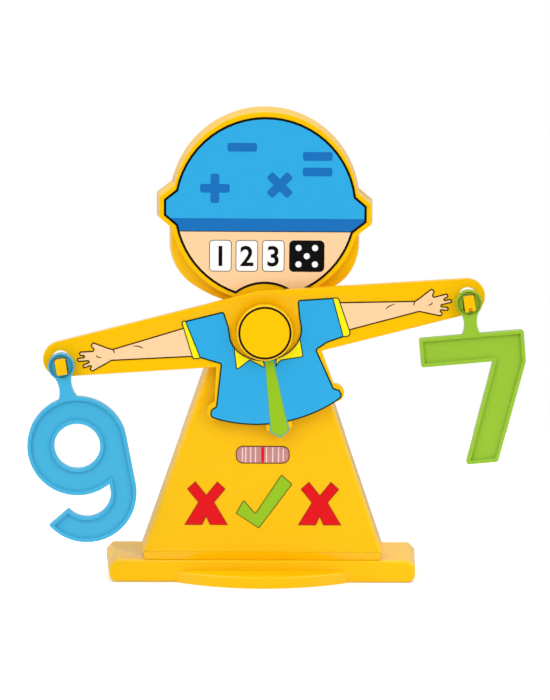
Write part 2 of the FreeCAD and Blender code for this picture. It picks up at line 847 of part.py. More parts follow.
def nine_figure(inset, front, back):
    """Figure nine: bowl, straight stem and a tail that sweeps to the left."""
    inner = nine_bowl_radius - nine_stroke + inset
    outer = nine_bowl_radius - inset
    low = -nine_drop - nine_stem_height
    bowl = disc(0, -nine_drop, outer, front, back)
    tail = disc(0, low, outer, front, back)
    tail = tail.cut(disc(0, low, inner, front - overrun, back + overrun))
    reach = 2 * nine_bowl_radius
    end = math.radians(nine_tail_sweep)
    end_x, end_z = -reach * math.cos(math.pi - end), -reach * math.sin(math.pi - end)
    shift_x, shift_z = inset * math.sin(math.pi - end), -inset * math.cos(math.pi - end)
    away = [(shift_x, low + shift_z), (end_x + shift_x, low + end_z + shift_z),
            (-reach, low + reach), (reach, low + reach), (reach, low), (shift_x, low)]
    tail = tail.cut(slab(polygon_wire(away), front - overrun, back + overrun))
    stem = block(inner, outer, front, back, low - inset, -nine_drop)
    whole = united([bowl, stem, tail])
    return whole.cut(disc(0, -nine_drop, nine_bowl_hole_radius + inset, front - overrun,
                          back + overrun))


def seven_figure(inset, front, back):
    """Figure seven: level bar and a leaning leg with a flat foot."""
    top = -seven_drop
    bottom = top - seven_length
    bar_bottom = top - seven_bar_height
    points = [(-seven_half_width, top), (seven_half_width, top),
              (seven_half_width, bar_bottom - seven_shoulder_drop), (seven_foot_right, bottom),
              (-seven_foot_left, bottom), (seven_inner_corner, bar_bottom),
              (-seven_half_width, bar_bottom)]
    corner = seven_corner
    wire = rounded_wire(points, [corner, corner, corner, corner, corner, 0, corner])
    return inset_slab(wire, inset, front, back)


def number_front():
    """Depth of a hanging number's front face."""
    return -beam_front - digit_gap - digit_depth


def number_frame(figure, length):
    """Raised rim of a number with its neck and eye, but without the web inside the rim."""
    front = number_front()
    back = front + digit_depth
    through = figure(digit_rim, front - overrun, back + overrun)
    rim = figure(0.0, front, back).cut(through)
    neck = neck_form(length).cut(through)
    return united([rim, neck, eye_form()]).cut(window_form())


def web_area(figure):
    """Front-view area of the web inside a number's rim."""
    return figure(digit_rim, 0.0, digit_depth).Volume / digit_depth


def unit_volume():
    """Volume that stands for one: the nine's, shared by its value."""
    frame = number_frame(nine_figure, nine_drop - nine_bowl_radius)
    return (frame.Volume + web_area(nine_figure) * nine_web) / nine_value


def hanging_number(figure, length, web, lean, side):
    """Number with a raised rim round a thinner web, hung on a peg of the beam."""
    web_front = number_front() + digit_recess
    plate = figure(digit_rim, web_front, web_front + web)
    number = united([number_frame(figure, length), plate])
    number.rotate(Vector(0, 0, 0), BACKWARD, -lean)
    number.translate(at(side * arm_reach, arm_rise - peg_drop))
    return tilted(number)


def digit_nine():
    """Number nine on the left peg."""
    return hanging_number(nine_figure, nine_drop - nine_bowl_radius, nine_web, nine_lean, -1)


def digit_seven():
    """Number seven on the right peg; its web makes it weigh seven ninths of the nine."""
    frame = number_frame(seven_figure, seven_drop)
    web = (seven_value * unit_volume() - frame.Volume) / web_area(seven_figure)
    return hanging_number(seven_figure, seven_drop, web, seven_lean, 1)


# Printed labels


def head_label():
    """Label on the head's front plate, notched round the hub."""
    back = 0.0
    front = -label_thickness
    face = disc(0, plate_middle, plate_radius - label_border, front, back)
    brim = slab(polygon_wire(brim_points(-figure_draft - label_border)), front, back)
    return united([face, brim]).cut(disc(0, pivot_height, chin_notch_radius,
                                         front - overrun, back + overrun))


def hub_label():
    """Round label on the cap."""
    return disc(0, pivot_height, hub_label_radius, -cap_front - label_thickness, -cap_front)


def scale_label():
    """Rounded scale strip behind the pointer's swing."""
    half = scale_width / 2
    radius = scale_height / 2
    points = [(-half, scale_rise - radius), (half, scale_rise - radius),
              (half, scale_rise + radius), (-half, scale_rise + radius)]
    return slab(rounded_wire(points, radius * scale_corner_share), -label_thickness, 0.0)


def cross_label(side):
    """Upright cross made of two leaning bars."""
    half_width = cross_width / 2
    half_height = cross_height / 2
    bars = []
    for lean in (-1, 1):
        bars.append(slab(polygon_wire([
            (-lean * half_width, -half_height), (-lean * (half_width - cross_bar), -half_height),
            (lean * half_width, half_height), (lean * (half_width - cross_bar), half_height)]),
            -label_thickness, 0.0))
    cross = united(bars)
    cross.translate(at(side * cross_reach, mark_rise))
    return cross


def tick_label():
    """Tick mark: a short stroke and a long one that meet in a point."""
    half = tick_width / 2
    low = mark_rise - tick_height / 2
    high = low + tick_height
    elbow_x = -half + tick_width * tick_elbow_share
    short_top = low + tick_height * tick_short_share
    short_foot = short_top - tick_bar
    long_share = (high - low) / (half - elbow_x)
    inner_x = elbow_x - tick_bar * tick_inner_share
    inner_z = high - long_share * (half - tick_bar - inner_x)
    points = [(elbow_x, low), (half, high), (half - tick_bar, high), (inner_x, inner_z),
              (tick_bar - half, short_top), (-half, short_foot)]
    return slab(polygon_wire(points), -label_thickness, 0.0)


def shirt_label_form():
    """Shirt print with sleeves, drawn level, before the pointer is cut out."""
    front, back = -beam_front - label_thickness, -beam_front
    torso = shirt_form(label_edge, front, back)
    sleeve_points = [(0, -underarm_drop), (underarm_reach, -underarm_drop),
                     (sleeve_reach, -sleeve_bottom), (sleeve_reach, sleeve_top),
                     (shoulder_reach, shoulder_rise), (0, shoulder_rise)]
    sleeve = slab(polygon_wire(sleeve_points), front, back)
    whole = united([torso, sleeve, mirrored(sleeve)])
    gap = block(-shoulder_reach, shoulder_reach, front - overrun, back + overrun,
                0.0, shoulder_rise + overrun)
    return whole.cut(gap).cut(disc(0, 0, neckline_radius, front - overrun, back + overrun))


def pointer_form():
    """Pointer print, drawn level."""
    front, back = -beam_front - label_thickness, -beam_front
    strip = inset_slab(pointer_wire(), label_edge, front, back)
    lengthened = slab(polygon_wire([
        (label_edge - pointer_root_half_width, -neckline_radius + label_edge),
        (pointer_root_half_width - label_edge, -neckline_radius + label_edge),
        (pointer_root_half_width - label_edge / 2, -pointer_side_drop / 2),
        (label_edge / 2 - pointer_root_half_width, -pointer_side_drop / 2)]), front, back)
    return united([strip, lengthened]).cut(disc(0, 0, neckline_radius, front - overrun,
                                                back + overrun))


def shirt_label():
    """Shirt and pointer print on the beam."""
    return tilted(united([shirt_label_form(), pointer_form()]))


def arm_label(side):
    """Forearm and mitten hand print on one arm of the beam."""
    front, back = -beam_front - label_thickness, -beam_front
    forearm = slab(polygon_wire([
        (sleeve_reach, arm_rise - forearm_half_height), (wrist_reach, arm_rise - wrist_half_height),
        (wrist_reach, arm_rise + wrist_half_height),
        (sleeve_reach, arm_rise + forearm_half_height)]), front, back)
    palm = disc(palm_reach, arm_rise, palm_radius, front, back)
    wrist = slab(polygon_wire([
        (wrist_reach, arm_rise - wrist_half_height), (palm_reach, arm_rise - palm_radius),
        (finger_reach, arm_rise - finger_radius), (finger_reach, arm_rise + finger_radius),
        (palm_reach, arm_rise + palm_radius), (wrist_reach, arm_rise + wrist_half_height)]),
        front, back)
    fingers = disc(finger_reach, arm_rise, finger_radius, front, back)
    thumb_z = arm_rise + thumb_rise
    thumb = slab(polygon_wire([
        (thumb_root_reach - thumb_radius, arm_rise), (thumb_root_reach + thumb_radius, arm_rise),
        (thumb_tip_reach + thumb_radius, thumb_z), (thumb_tip_reach - thumb_radius, thumb_z)]),
        front, back)
    thumb_end = disc(thumb_tip_reach, thumb_z, thumb_radius, front, back)
    hand = united([forearm, palm, wrist, fingers, thumb, thumb_end])
    if side < 0:
        hand = mirrored(hand)
    return tilted(hand)


PIECES = {
    "base_housing": base_housing,
    "front_shell": front_shell,
    "rear_cover": rear_cover,
    "hub_cap": hub_cap,
    "pivot_washer": pivot_washer,
    "pivot_screw": pivot_screw,
    "cover_screws": cover_screws,
    "base_screws": base_screws,
    "balance_beam": balance_beam,
    "digit_nine": digit_nine,
    "digit_seven": digit_seven,
    "head_label": head_label,
    "hub_label": hub_label,
    "scale_label": scale_label,
    "cross_label_left": lambda: cross_label(-1),
    "cross_label_right": lambda: cross_label(1),
    "tick_label": tick_label,
    "shirt_label": shirt_label,
    "arm_label_left": lambda: arm_label(-1),
    "arm_label_right": lambda: arm_label(1),
}


def main():
    """Build every piece and write it to its own file."""
    os.makedirs("parts", exist_ok=True)
    for name, build in PIECES.items():
        shape = build()
        shape.translate(BACKWARD * -(base_front + base_depth / 2))
        shape.exportStep(os.path.join("parts", name + ".step"))
        box = shape.BoundBox
        print("%-18s solids %2d valid %s volume %9.1f  x %7.1f %7.1f  y %6.1f %6.1f  z %6.1f %6.1f"
              % (name, len(shape.Solids), shape.isValid(), shape.Volume, box.XMin, box.XMax,
                 box.YMin, box.YMax, box.ZMin, box.ZMax))


main()
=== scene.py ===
"""Looks of a number balance in the shape of a child figure, moulded in plastic.

The rigid mouldings are welded copies of the frame's pieces, with the small radius that a mould
leaves along every edge. What is printed on them is a stack of thin inked films. The prints' sizes,
and every size whose name ends in mm, are millimetres; everything else is in metres. Angles are
degrees.
"""

import json
import logging
import math
from collections.abc import Sequence
from dataclasses import dataclass, field
from enum import Enum
from typing import ClassVar

import bmesh
import bpy
from mathutils import Matrix, Vector

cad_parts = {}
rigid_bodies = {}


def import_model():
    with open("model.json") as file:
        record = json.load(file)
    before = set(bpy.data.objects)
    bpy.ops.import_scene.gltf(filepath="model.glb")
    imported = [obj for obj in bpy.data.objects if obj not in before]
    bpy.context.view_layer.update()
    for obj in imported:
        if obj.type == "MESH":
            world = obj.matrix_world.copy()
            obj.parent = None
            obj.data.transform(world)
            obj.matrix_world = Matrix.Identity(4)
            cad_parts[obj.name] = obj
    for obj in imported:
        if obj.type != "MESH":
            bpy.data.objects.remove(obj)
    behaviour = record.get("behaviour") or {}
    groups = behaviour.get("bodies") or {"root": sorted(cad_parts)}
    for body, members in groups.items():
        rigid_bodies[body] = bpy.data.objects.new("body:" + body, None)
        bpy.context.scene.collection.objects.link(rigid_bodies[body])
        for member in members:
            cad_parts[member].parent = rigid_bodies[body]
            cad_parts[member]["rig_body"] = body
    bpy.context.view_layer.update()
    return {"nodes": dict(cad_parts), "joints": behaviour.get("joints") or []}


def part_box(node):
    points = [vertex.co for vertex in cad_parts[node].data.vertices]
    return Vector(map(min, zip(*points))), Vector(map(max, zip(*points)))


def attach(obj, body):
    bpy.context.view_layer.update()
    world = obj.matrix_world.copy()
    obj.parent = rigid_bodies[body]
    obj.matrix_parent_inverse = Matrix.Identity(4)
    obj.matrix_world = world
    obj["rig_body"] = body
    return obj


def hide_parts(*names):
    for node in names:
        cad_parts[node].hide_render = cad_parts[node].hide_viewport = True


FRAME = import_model()
MM = 0.001
LOG = logging.getLogger("number_balance")

Point = tuple[float, float]
Corner = tuple[float, float, float]
Place = tuple[float, float, float]
Span = tuple[float, float]

TILT = next(joint for joint in FRAME["joints"] if joint["name"] == "beam_tilt")
PIVOT: Point = (TILT["pos_m"][0], TILT["pos_m"][2])

# Largest angle between two points of an arc, and of a rounded corner.
ARC_STEP = 6.0
CORNER_STEP = 15.0
# Edges that turn less than the first are shaded smooth, and less than the second join up flat.
SMOOTH_ANGLE = 35.0
FLAT_ANGLE = 1.0
# Octaves of the finest noises, whose blobs are too small to need more.
FINE_DETAIL = 1.0
WHITE_LIGHT = (1.0, 1.0, 1.0, 1.0)


def linear(colour: str) -> tuple[float, float, float, float]:
    """Turns an sRGB hex colour into linear light.

    Args:
        colour: Six hex digits after a hash sign.

    Returns:
        Red, green, blue and an alpha of one.
    """
    shares = [int(colour[i:i + 2], 16) / 255 for i in (1, 3, 5)]
    light = [s / 12.92 if s <= 0.04045 else ((s + 0.055) / 1.055) ** 2.4 for s in shares]
    return light[0], light[1], light[2], 1.0


def add_node(tree: bpy.types.NodeTree, kind: str, values: dict | None = None,
             links: dict | None = None, **settings: object) -> bpy.types.Node:
    """Adds one shader node with its settings, its socket values and its links.

    Args:
        tree: Node tree that gets the node.
        kind: Blender's name for the node type.
        values: Socket name or number to the value it holds.
        links: Socket name or number to the output that feeds it.
        **settings: Properties of the node itself.

    Returns:
        The new node.
    """
    node = tree.nodes.new(kind)
    for name, setting in settings.items():
        setattr(node, name, setting)
    for socket, value in (values or {}).items():
        node.inputs[socket].default_value = value
    for socket, source in (links or {}).items():
        tree.links.new(source, node.inputs[socket])
    return node


def new_material(name: str) -> tuple[bpy.types.Material, bpy.types.NodeTree]:
    """Makes an empty node material.

    Args:
        name: Name of the material.

    Returns:
        The material and its node tree.
    """
    material = bpy.data.materials.new(name)
    material.use_nodes = True
    material.node_tree.nodes.clear()
    return material, material.node_tree


def blob_scale(size_mm: float) -> float:
    """Scale of a noise whose blobs are about a real size across."""
    return 1 / (size_mm * MM)


@dataclass(frozen=True)
class Surface:
    """A finish whose tone and gloss wander a little over the surface.

    Attributes:
        name: Name of the material.
        colour: Its colour, as sRGB hex.
        roughness: Its mean roughness.
        tones: Shares of the colour that the tone wanders between.
        gloss: Shares of the roughness that the gloss wanders between.
    """

    name: str
    colour: str
    roughness: float
    tones: Span
    gloss: Span

    def shade(self, tree: bpy.types.NodeTree, tone_by: bpy.types.NodeSocket,
              gloss_by: bpy.types.NodeSocket, values: dict, links: dict | None = None) -> None:
        """Adds the tone, the gloss, the shader and the output.

        Args:
            tree: The material's node tree.
            tone_by: Output that moves the tone from its first share to its second.
            gloss_by: Output that moves the gloss in the same way.
            values: Values of the shader's other sockets.
            links: Outputs that feed the shader's other sockets.
        """
        full = linear(self.colour)
        first, second = (tuple(c * share for c in full[:3]) + (1.0,) for share in self.tones)
        tone = add_node(tree, "ShaderNodeMix", {"A": first, "B": second}, {"Factor": tone_by},
                        data_type="RGBA")
        gloss = add_node(tree, "ShaderNodeMapRange",
                         {"To Min": self.roughness * self.gloss[0],
                          "To Max": self.roughness * self.gloss[1]},
                         {"Value": gloss_by})
        shader = add_node(tree, "ShaderNodeBsdfPrincipled", values,
                          {"Base Color": tone.outputs["Result"],
                           "Roughness": gloss.outputs["Result"], **(links or {})})
        add_node(tree, "ShaderNodeOutputMaterial", links={"Surface": shader.outputs["BSDF"]})


@dataclass(frozen=True)
class MouldedPlastic(Surface):
    """Injection-moulded ABS, coloured through, from a polished mould.

    The polish gives clear, slightly soft reflections. Sink and flow marks make the gloss and the
    level of the surface wander over a centimetre or so, which shows in the highlights.
    """

    roughness: float = 0.15
    tones: Span = (0.965, 1.0)
    gloss: Span = (0.8, 1.2)
    ior: float = 1.52
    flow_mm: float = 14.0
    peel_mm: float = 1.6
    peel_depth_mm: float = 0.012
    peel_strength: float = 0.5

    def material(self) -> bpy.types.Material:
        """Builds the material.

        Returns:
            The material.
        """
        material, tree = new_material(self.name)
        place = add_node(tree, "ShaderNodeTexCoord").outputs["Object"]
        flow = add_node(tree, "ShaderNodeTexNoise", {"Scale": blob_scale(self.flow_mm)},
                        {"Vector": place}).outputs["Fac"]
        peel = add_node(tree, "ShaderNodeTexNoise",
                        {"Scale": blob_scale(self.peel_mm), "Detail": FINE_DETAIL},
                        {"Vector": place})
        bump = add_node(tree, "ShaderNodeBump",
                        {"Strength": self.peel_strength, "Distance": self.peel_depth_mm * MM},
                        {"Height": peel.outputs["Fac"]})
        self.shade(tree, flow, flow, {"IOR": self.ior}, {"Normal": bump.outputs["Normal"]})
        return material


@dataclass(frozen=True)
class PrintedFilm(Surface):
    """Ink on a glossy film, pressed onto the moulding.

    The ink layer is a little uneven in tone, and the clear top coat keeps the gloss of the
    plastic around it. The ink's grain is drawn at half a millimetre, coarser than the real one.
    """

    roughness: float = 0.2
    tones: Span = (1.0, 0.97)
    gloss: Span = (0.85, 1.15)
    ior: float = 1.49
    grain_mm: float = 0.5
    cloud_mm: float = 11.0

    def material(self) -> bpy.types.Material:
        """Builds the material.

        Returns:
            The material.
        """
        material, tree = new_material(self.name)
        place = add_node(tree, "ShaderNodeTexCoord").outputs["Object"]
        grain = add_node(tree, "ShaderNodeTexNoise",
                         {"Scale": blob_scale(self.grain_mm), "Detail": FINE_DETAIL},
                         {"Vector": place}).outputs["Fac"]
        cloud = add_node(tree, "ShaderNodeTexNoise", {"Scale": blob_scale(self.cloud_mm)},
                         {"Vector": place}).outputs["Fac"]
        blend = add_node(tree, "ShaderNodeMath", links={0: grain, 1: cloud}, operation="MULTIPLY")
        self.shade(tree, blend.outputs["Value"], cloud, {"IOR": self.ior})
        return material


@dataclass(frozen=True)
class PlatedSteel(Surface):
    """Zinc-plated steel, as on small screws: bright, with a fine uneven bloom."""

    colour: str = "#C9CACB"
    roughness: float = 0.32
    tones: Span = (0.8, 1.0)
    gloss: Span = (0.7, 1.3)
    bloom_mm: float = 0.8

    def material(self) -> bpy.types.Material:
        """Builds the material.

        Returns:
            The material.
        """
        material, tree = new_material(self.name)
        place = add_node(tree, "ShaderNodeTexCoord").outputs["Object"]
        bloom = add_node(tree, "ShaderNodeTexNoise", {"Scale": blob_scale(self.bloom_mm)},
                         {"Vector": place}).outputs["Fac"]
        self.shade(tree, bloom, bloom, {"Metallic": 1.0})
        return material


class Finish(Enum):
    """Every finish on the toy, each built once."""

    YELLOW = MouldedPlastic("moulded_yellow_abs", "#FDC400")
    BEAM = MouldedPlastic("moulded_beam_yellow_abs", "#FCC103")
    BLUE = MouldedPlastic("moulded_blue_abs", "#45B2DC")
    GREEN = MouldedPlastic("moulded_green_abs", "#98C438")
    STEEL = PlatedSteel("zinc_plated_steel")
    INK = PrintedFilm("black_ink_film", "#0E0E0E")
    SHIRT_LINE = PrintedFilm("dark_green_ink_film", "#0B2A20")
    LIGHT_BLUE = PrintedFilm("light_blue_ink_film", "#30A9E1")
    DARK_BLUE = PrintedFilm("dark_blue_ink_film", "#1C70BA")
    SKIN = PrintedFilm("peach_ink_film", "#FBD1A0")
    LEMON = PrintedFilm("lemon_ink_film", "#FCEE17")
    LEAF = PrintedFilm("leaf_green_ink_film", "#95C31F")
    TEAL = PrintedFilm("teal_ink_film", "#55AD9C")
    RED = PrintedFilm("red_ink_film", "#E20613")
    DARK_RED = PrintedFilm("dark_red_ink_film", "#8E1A12")
    ROSE = PrintedFilm("rose_ink_film", "#C88C8A")
    PALE_ROSE = PrintedFilm("pale_rose_ink_film", "#F3DAD6")
    BROWN = PrintedFilm("brown_ink_film", "#5A2413")
    DARK_BROWN = PrintedFilm("dark_brown_ink_film", "#26160A")
    WHITE = PrintedFilm("white_ink_film", "#FBFBFA")
    HUB = PrintedFilm("hub_yellow_film", "#FDC502", roughness=0.16)

    @property
    def material(self) -> bpy.types.Material:
        """The finish's material, made on first use."""
        return bpy.data.materials.get(self.value.name) or self.value.material()


def arc(centre: Point, radius: float, start: float, end: float,
        step: float = ARC_STEP) -> list[Point]:
    """Points along an arc of the front view.

    Args:
        centre: Centre of the arc.
        radius: Radius of the arc.
        start: First angle, anticlockwise from the right.
        end: Last angle.
        step: Largest angle between two points.

    Returns:
        The points, both ends included.
    """
    count = max(2, math.ceil(abs(end - start) / step) + 1)
    angles = [math.radians(start + (end - start) * i / (count - 1)) for i in range(count)]
    return [(centre[0] + radius * math.cos(a), centre[1] + radius * math.sin(a)) for a in angles]


def circle(centre: Point, radius: float, step: float) -> list[Point]:
    """Outline of a disc, with a point at every step of its angle."""
    return arc(centre, radius, 0.0, 360.0 - step, step)


def rounded(corners: Sequence[Corner]) -> list[Point]:
    """Closed outline whose corners are rounded, each with its own radius.

    Args:
        corners: Place and radius of each corner, anticlockwise. A radius of zero keeps it sharp.

    Returns:
        The outline's points.
    """
    points: list[Point] = []
    for i, (x, z, radius) in enumerate(corners):
        here = Vector((x, z))
        if radius == 0:
            points.append((x, z))
            continue
        to_last = (Vector(corners[i - 1][:2]) - here).normalized()
        to_next = (Vector(corners[(i + 1) % len(corners)][:2]) - here).normalized()
        half = to_last.angle(to_next) / 2
        middle = here + (to_last + to_next).normalized() * (radius / math.sin(half))
        first = here + to_last * (radius / math.tan(half)) - middle
        sweep = math.degrees(math.pi - 2 * half)
        turn = sweep if to_last.cross(to_next) < 0 else -sweep
        start = math.degrees(math.atan2(first.y, first.x))
        points += arc((middle.x, middle.y), radius, start, start + turn, CORNER_STEP)
    return points


def block_outline(middle: Point, width: float, height: float, radius: float) -> list[Point]:
    """Outline of an upright block with rounded corners.

    Args:
        middle: Middle of the block.
        width: Its width.
        height: Its height.
        radius: Radius of its corners; zero keeps them sharp.

    Returns:
        The outline's points, anticlockwise.
    """
    left, right = middle[0] - width / 2, middle[0] + width / 2
    low, high = middle[1] - height / 2, middle[1] + height / 2
    return rounded([(left, low, radius), (right, low, radius), (right, high, radius),
                    (left, high, radius)])


def mirrored(points: Sequence[Point]) -> list[Point]:
    """Outline on the other side of the middle plane, still anticlockwise."""
    return [(-x, z) for x, z in reversed(points)]


class Side(Enum):
    """Side of the toy's middle plane, as seen from the front."""

    LEFT = -1
    RIGHT = 1

    @property
    def word(self) -> str:
        """The side's word in the names of pieces."""
        return self.name.lower()

    def outline(self, points: list[Point]) -> list[Point]:
        """Puts an outline that is drawn on the right onto this side."""
        return points if self is Side.RIGHT else mirrored(points)


def to_object(bm: bmesh.types.BMesh, name: str,
              materials: list[bpy.types.Material]) -> bpy.types.Object:
    """Turns a finished bmesh into a linked object, smooth but for its sharp edges.

    Args:
        bm: The mesh, which is freed.
        name: Name of the piece.
        materials: Materials in slot order.

    Returns:
        The new object, at the origin.
    """
    mesh = bpy.data.meshes.new(name)
    bm.to_mesh(mesh)
    bm.free()
    for material in materials:
        mesh.materials.append(material)
    mesh.polygons.foreach_set("use_smooth", [True] * len(mesh.polygons))
    mesh.set_sharp_from_angle(angle=math.radians(SMOOTH_ANGLE))
    piece = bpy.data.objects.new(name, mesh)
    bpy.context.scene.collection.objects.link(piece)
    return piece


def welded_copy(source: bpy.types.Object, weld_mm: float) -> bmesh.types.BMesh:
    """Copies a frame piece with its vertices welded and its flat faces joined up.

    Args:
        source: The frame's piece.
        weld_mm: Vertices nearer to each other than this become one.

    Returns:
        The copy, with every face in the first material slot.
    """
    bm = bmesh.new()
    bm.from_mesh(source.data)
    bmesh.ops.remove_doubles(bm, verts=bm.verts[:], dist=weld_mm * MM)
    bmesh.ops.dissolve_limit(bm, angle_limit=math.radians(FLAT_ANGLE), verts=bm.verts[:],
                             edges=bm.edges[:])
    for face in bm.faces:
        face.material_index = 0
    return bm


@dataclass(frozen=True)
class Flat:
    """A flat front that carries prints, drawn about the pivot.

    Attributes:
        body: Body that the flat moves with.
        front: Depth of the flat.
        tilt: Turn of the prints about the pivot, about +Y.
        first_film_mm: Thickness of the film on the flat itself.
        next_film_mm: Thickness of each film above it.
    """

    body: str
    front: float
    tilt: float = 0.0

    first_film_mm: ClassVar[float] = 0.3
    next_film_mm: ClassVar[float] = 0.04

    def placement(self) -> Matrix:
        """Matrix from a print drawn about the pivot to its place on the toy."""
        move = Matrix.Translation((PIVOT[0], self.front, PIVOT[1]))
        return move @ Matrix.Rotation(math.radians(self.tilt), 4, "Y")

    def depths(self, layer: int) -> Span:
        """Depths of a film's back and front, before the flat.

        Args:
            layer: The film's place in the stack, counted from the flat.

        Returns:
            Both depths, in metres.
        """
        if layer == 0:
            return 0.0, -self.first_film_mm * MM
        back = -(self.first_film_mm + self.next_film_mm * (layer - 1)) * MM
        return back, back - self.next_film_mm * MM


@dataclass(frozen=True)
class Stripe:
    """A level stripe across a film, from a height upwards."""

    start: float
    finish: Finish


@dataclass(frozen=True)
class Film:
    """One printed shape: an inked rim round a filled outline, on a thin film.

    Attributes:
        name: Name of the piece.
        outline: The shape, anticlockwise.
        fill: Finish inside the rim.
        ink: Finish of the rim.
        line: Width of the rim; zero leaves it out.
        layer: Place in the stack of films, counted from the flat.
        stripes: Level stripes of other finishes, from the lowest up.
        rim_slot: Material slot of the rim. The fill comes before it and the stripes after it.
    """

    name: str
    outline: list[Point]
    fill: Finish
    ink: Finish = Finish.INK
    line: float = 0.0
    layer: int = 0
    stripes: tuple[Stripe, ...] = ()

    rim_slot: ClassVar[int] = 1

    def build(self, flat: Flat) -> bpy.types.Object:
        """Builds the film on its flat.

        Args:
            flat: The flat that carries it.

        Returns:
            The film, riding on the flat's body.
        """
        bm = bmesh.new()
        back, front = flat.depths(self.layer)
        face = bm.faces.new([bm.verts.new((x * MM, back, z * MM)) for x, z in self.outline])
        bm.normal_update()
        if self.line:
            rim = bmesh.ops.inset_region(bm, faces=[face], thickness=self.line * MM,
                                         use_even_offset=True, use_boundary=True)
            for part in rim["faces"]:
                part.material_index = self.rim_slot
        for slot, stripe in enumerate(self.stripes, self.rim_slot + 1):
            self._cut_stripe(bm, stripe.start * MM, slot)
        grown = bmesh.ops.extrude_face_region(bm, geom=bm.faces[:], use_keep_orig=True)
        moved = [part for part in grown["geom"] if isinstance(part, bmesh.types.BMVert)]
        bmesh.ops.translate(bm, verts=moved, vec=(0, front - back, 0))
        bmesh.ops.recalc_face_normals(bm, faces=bm.faces[:])
        bmesh.ops.transform(bm, matrix=flat.placement(), verts=bm.verts[:])
        finishes = [self.fill, self.ink] + [stripe.finish for stripe in self.stripes]
        piece = to_object(bm, self.name, [finish.material for finish in finishes])
        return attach(piece, flat.body)

    def _cut_stripe(self, bm: bmesh.types.BMesh, height: float, slot: int) -> None:
        """Gives the filled faces above a height another material slot.

        Args:
            bm: The film's mesh, before it gets its thickness.
            height: Height of the cut, in metres.
            slot: The new slot.
        """
        inner = [face for face in bm.faces if face.material_index != self.rim_slot]
        geometry = list({part for face in inner for part in [face, *face.edges, *face.verts]})
        bmesh.ops.bisect_plane(bm, geom=geometry, plane_co=(0, 0, height), plane_no=(0, 0, 1))
        for face in bm.faces:
            if face.material_index != self.rim_slot and face.calc_center_median().z > height:
                face.material_index = slot


@dataclass(frozen=True)
class Numeral:
    """A printed numeral in plain lettering.

    Attributes:
        name: Name of the piece.
        text: The numeral.
        place: Middle of the numeral.
        height: Its height.
        finish: Its ink.
        layer: Its place in the stack of films.
        bold_mm: How far its strokes are widened on each side.
        weld_mm: Vertices nearer to each other than this become one.
        cap_share: Height of a numeral as a share of the lettering's size.
        curve_steps: Straight steps in each curve of its outline.
    """

    name: str
    text: str
    place: Point
    height: float
    finish: Finish
    layer: int

    bold_mm: ClassVar[float] = 0.45
    weld_mm: ClassVar[float] = 0.001
    cap_share: ClassVar[float] = 0.7
    curve_steps: ClassVar[int] = 6

    def build(self, flat: Flat) -> bpy.types.Object:
        """Builds the numeral on a flat.

        Args:
            flat: The flat that carries it.

        Returns:
            The numeral, riding on the flat's body.
        """
        back, front = flat.depths(self.layer)
        curve = bpy.data.curves.new(self.name, "FONT")
        curve.body = self.text
        curve.size = self.height * MM / self.cap_share
        curve.align_x = "CENTER"
        curve.offset = self.bold_mm * MM
        curve.extrude = (back - front) / 2
        curve.resolution_u = self.curve_steps
        holder = bpy.data.objects.new(self.name, curve)
        mesh = bpy.data.meshes.new_from_object(holder)
        bpy.data.objects.remove(holder)
        bm = bmesh.new()
        bm.from_mesh(mesh)
        bpy.data.meshes.remove(mesh)
        bmesh.ops.remove_doubles(bm, verts=bm.verts[:], dist=self.weld_mm * MM)
        bmesh.ops.recalc_face_normals(bm, faces=bm.faces[:])
        low = self.place[1] - self.height / 2
        place = Matrix.Translation((self.place[0] * MM, (back + front) / 2, low * MM))
        upright = Matrix.Rotation(math.radians(90), 4, "X")
        bmesh.ops.transform(bm, matrix=flat.placement() @ place @ upright, verts=bm.verts[:])
        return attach(to_object(bm, self.name, [self.finish.material]), flat.body)


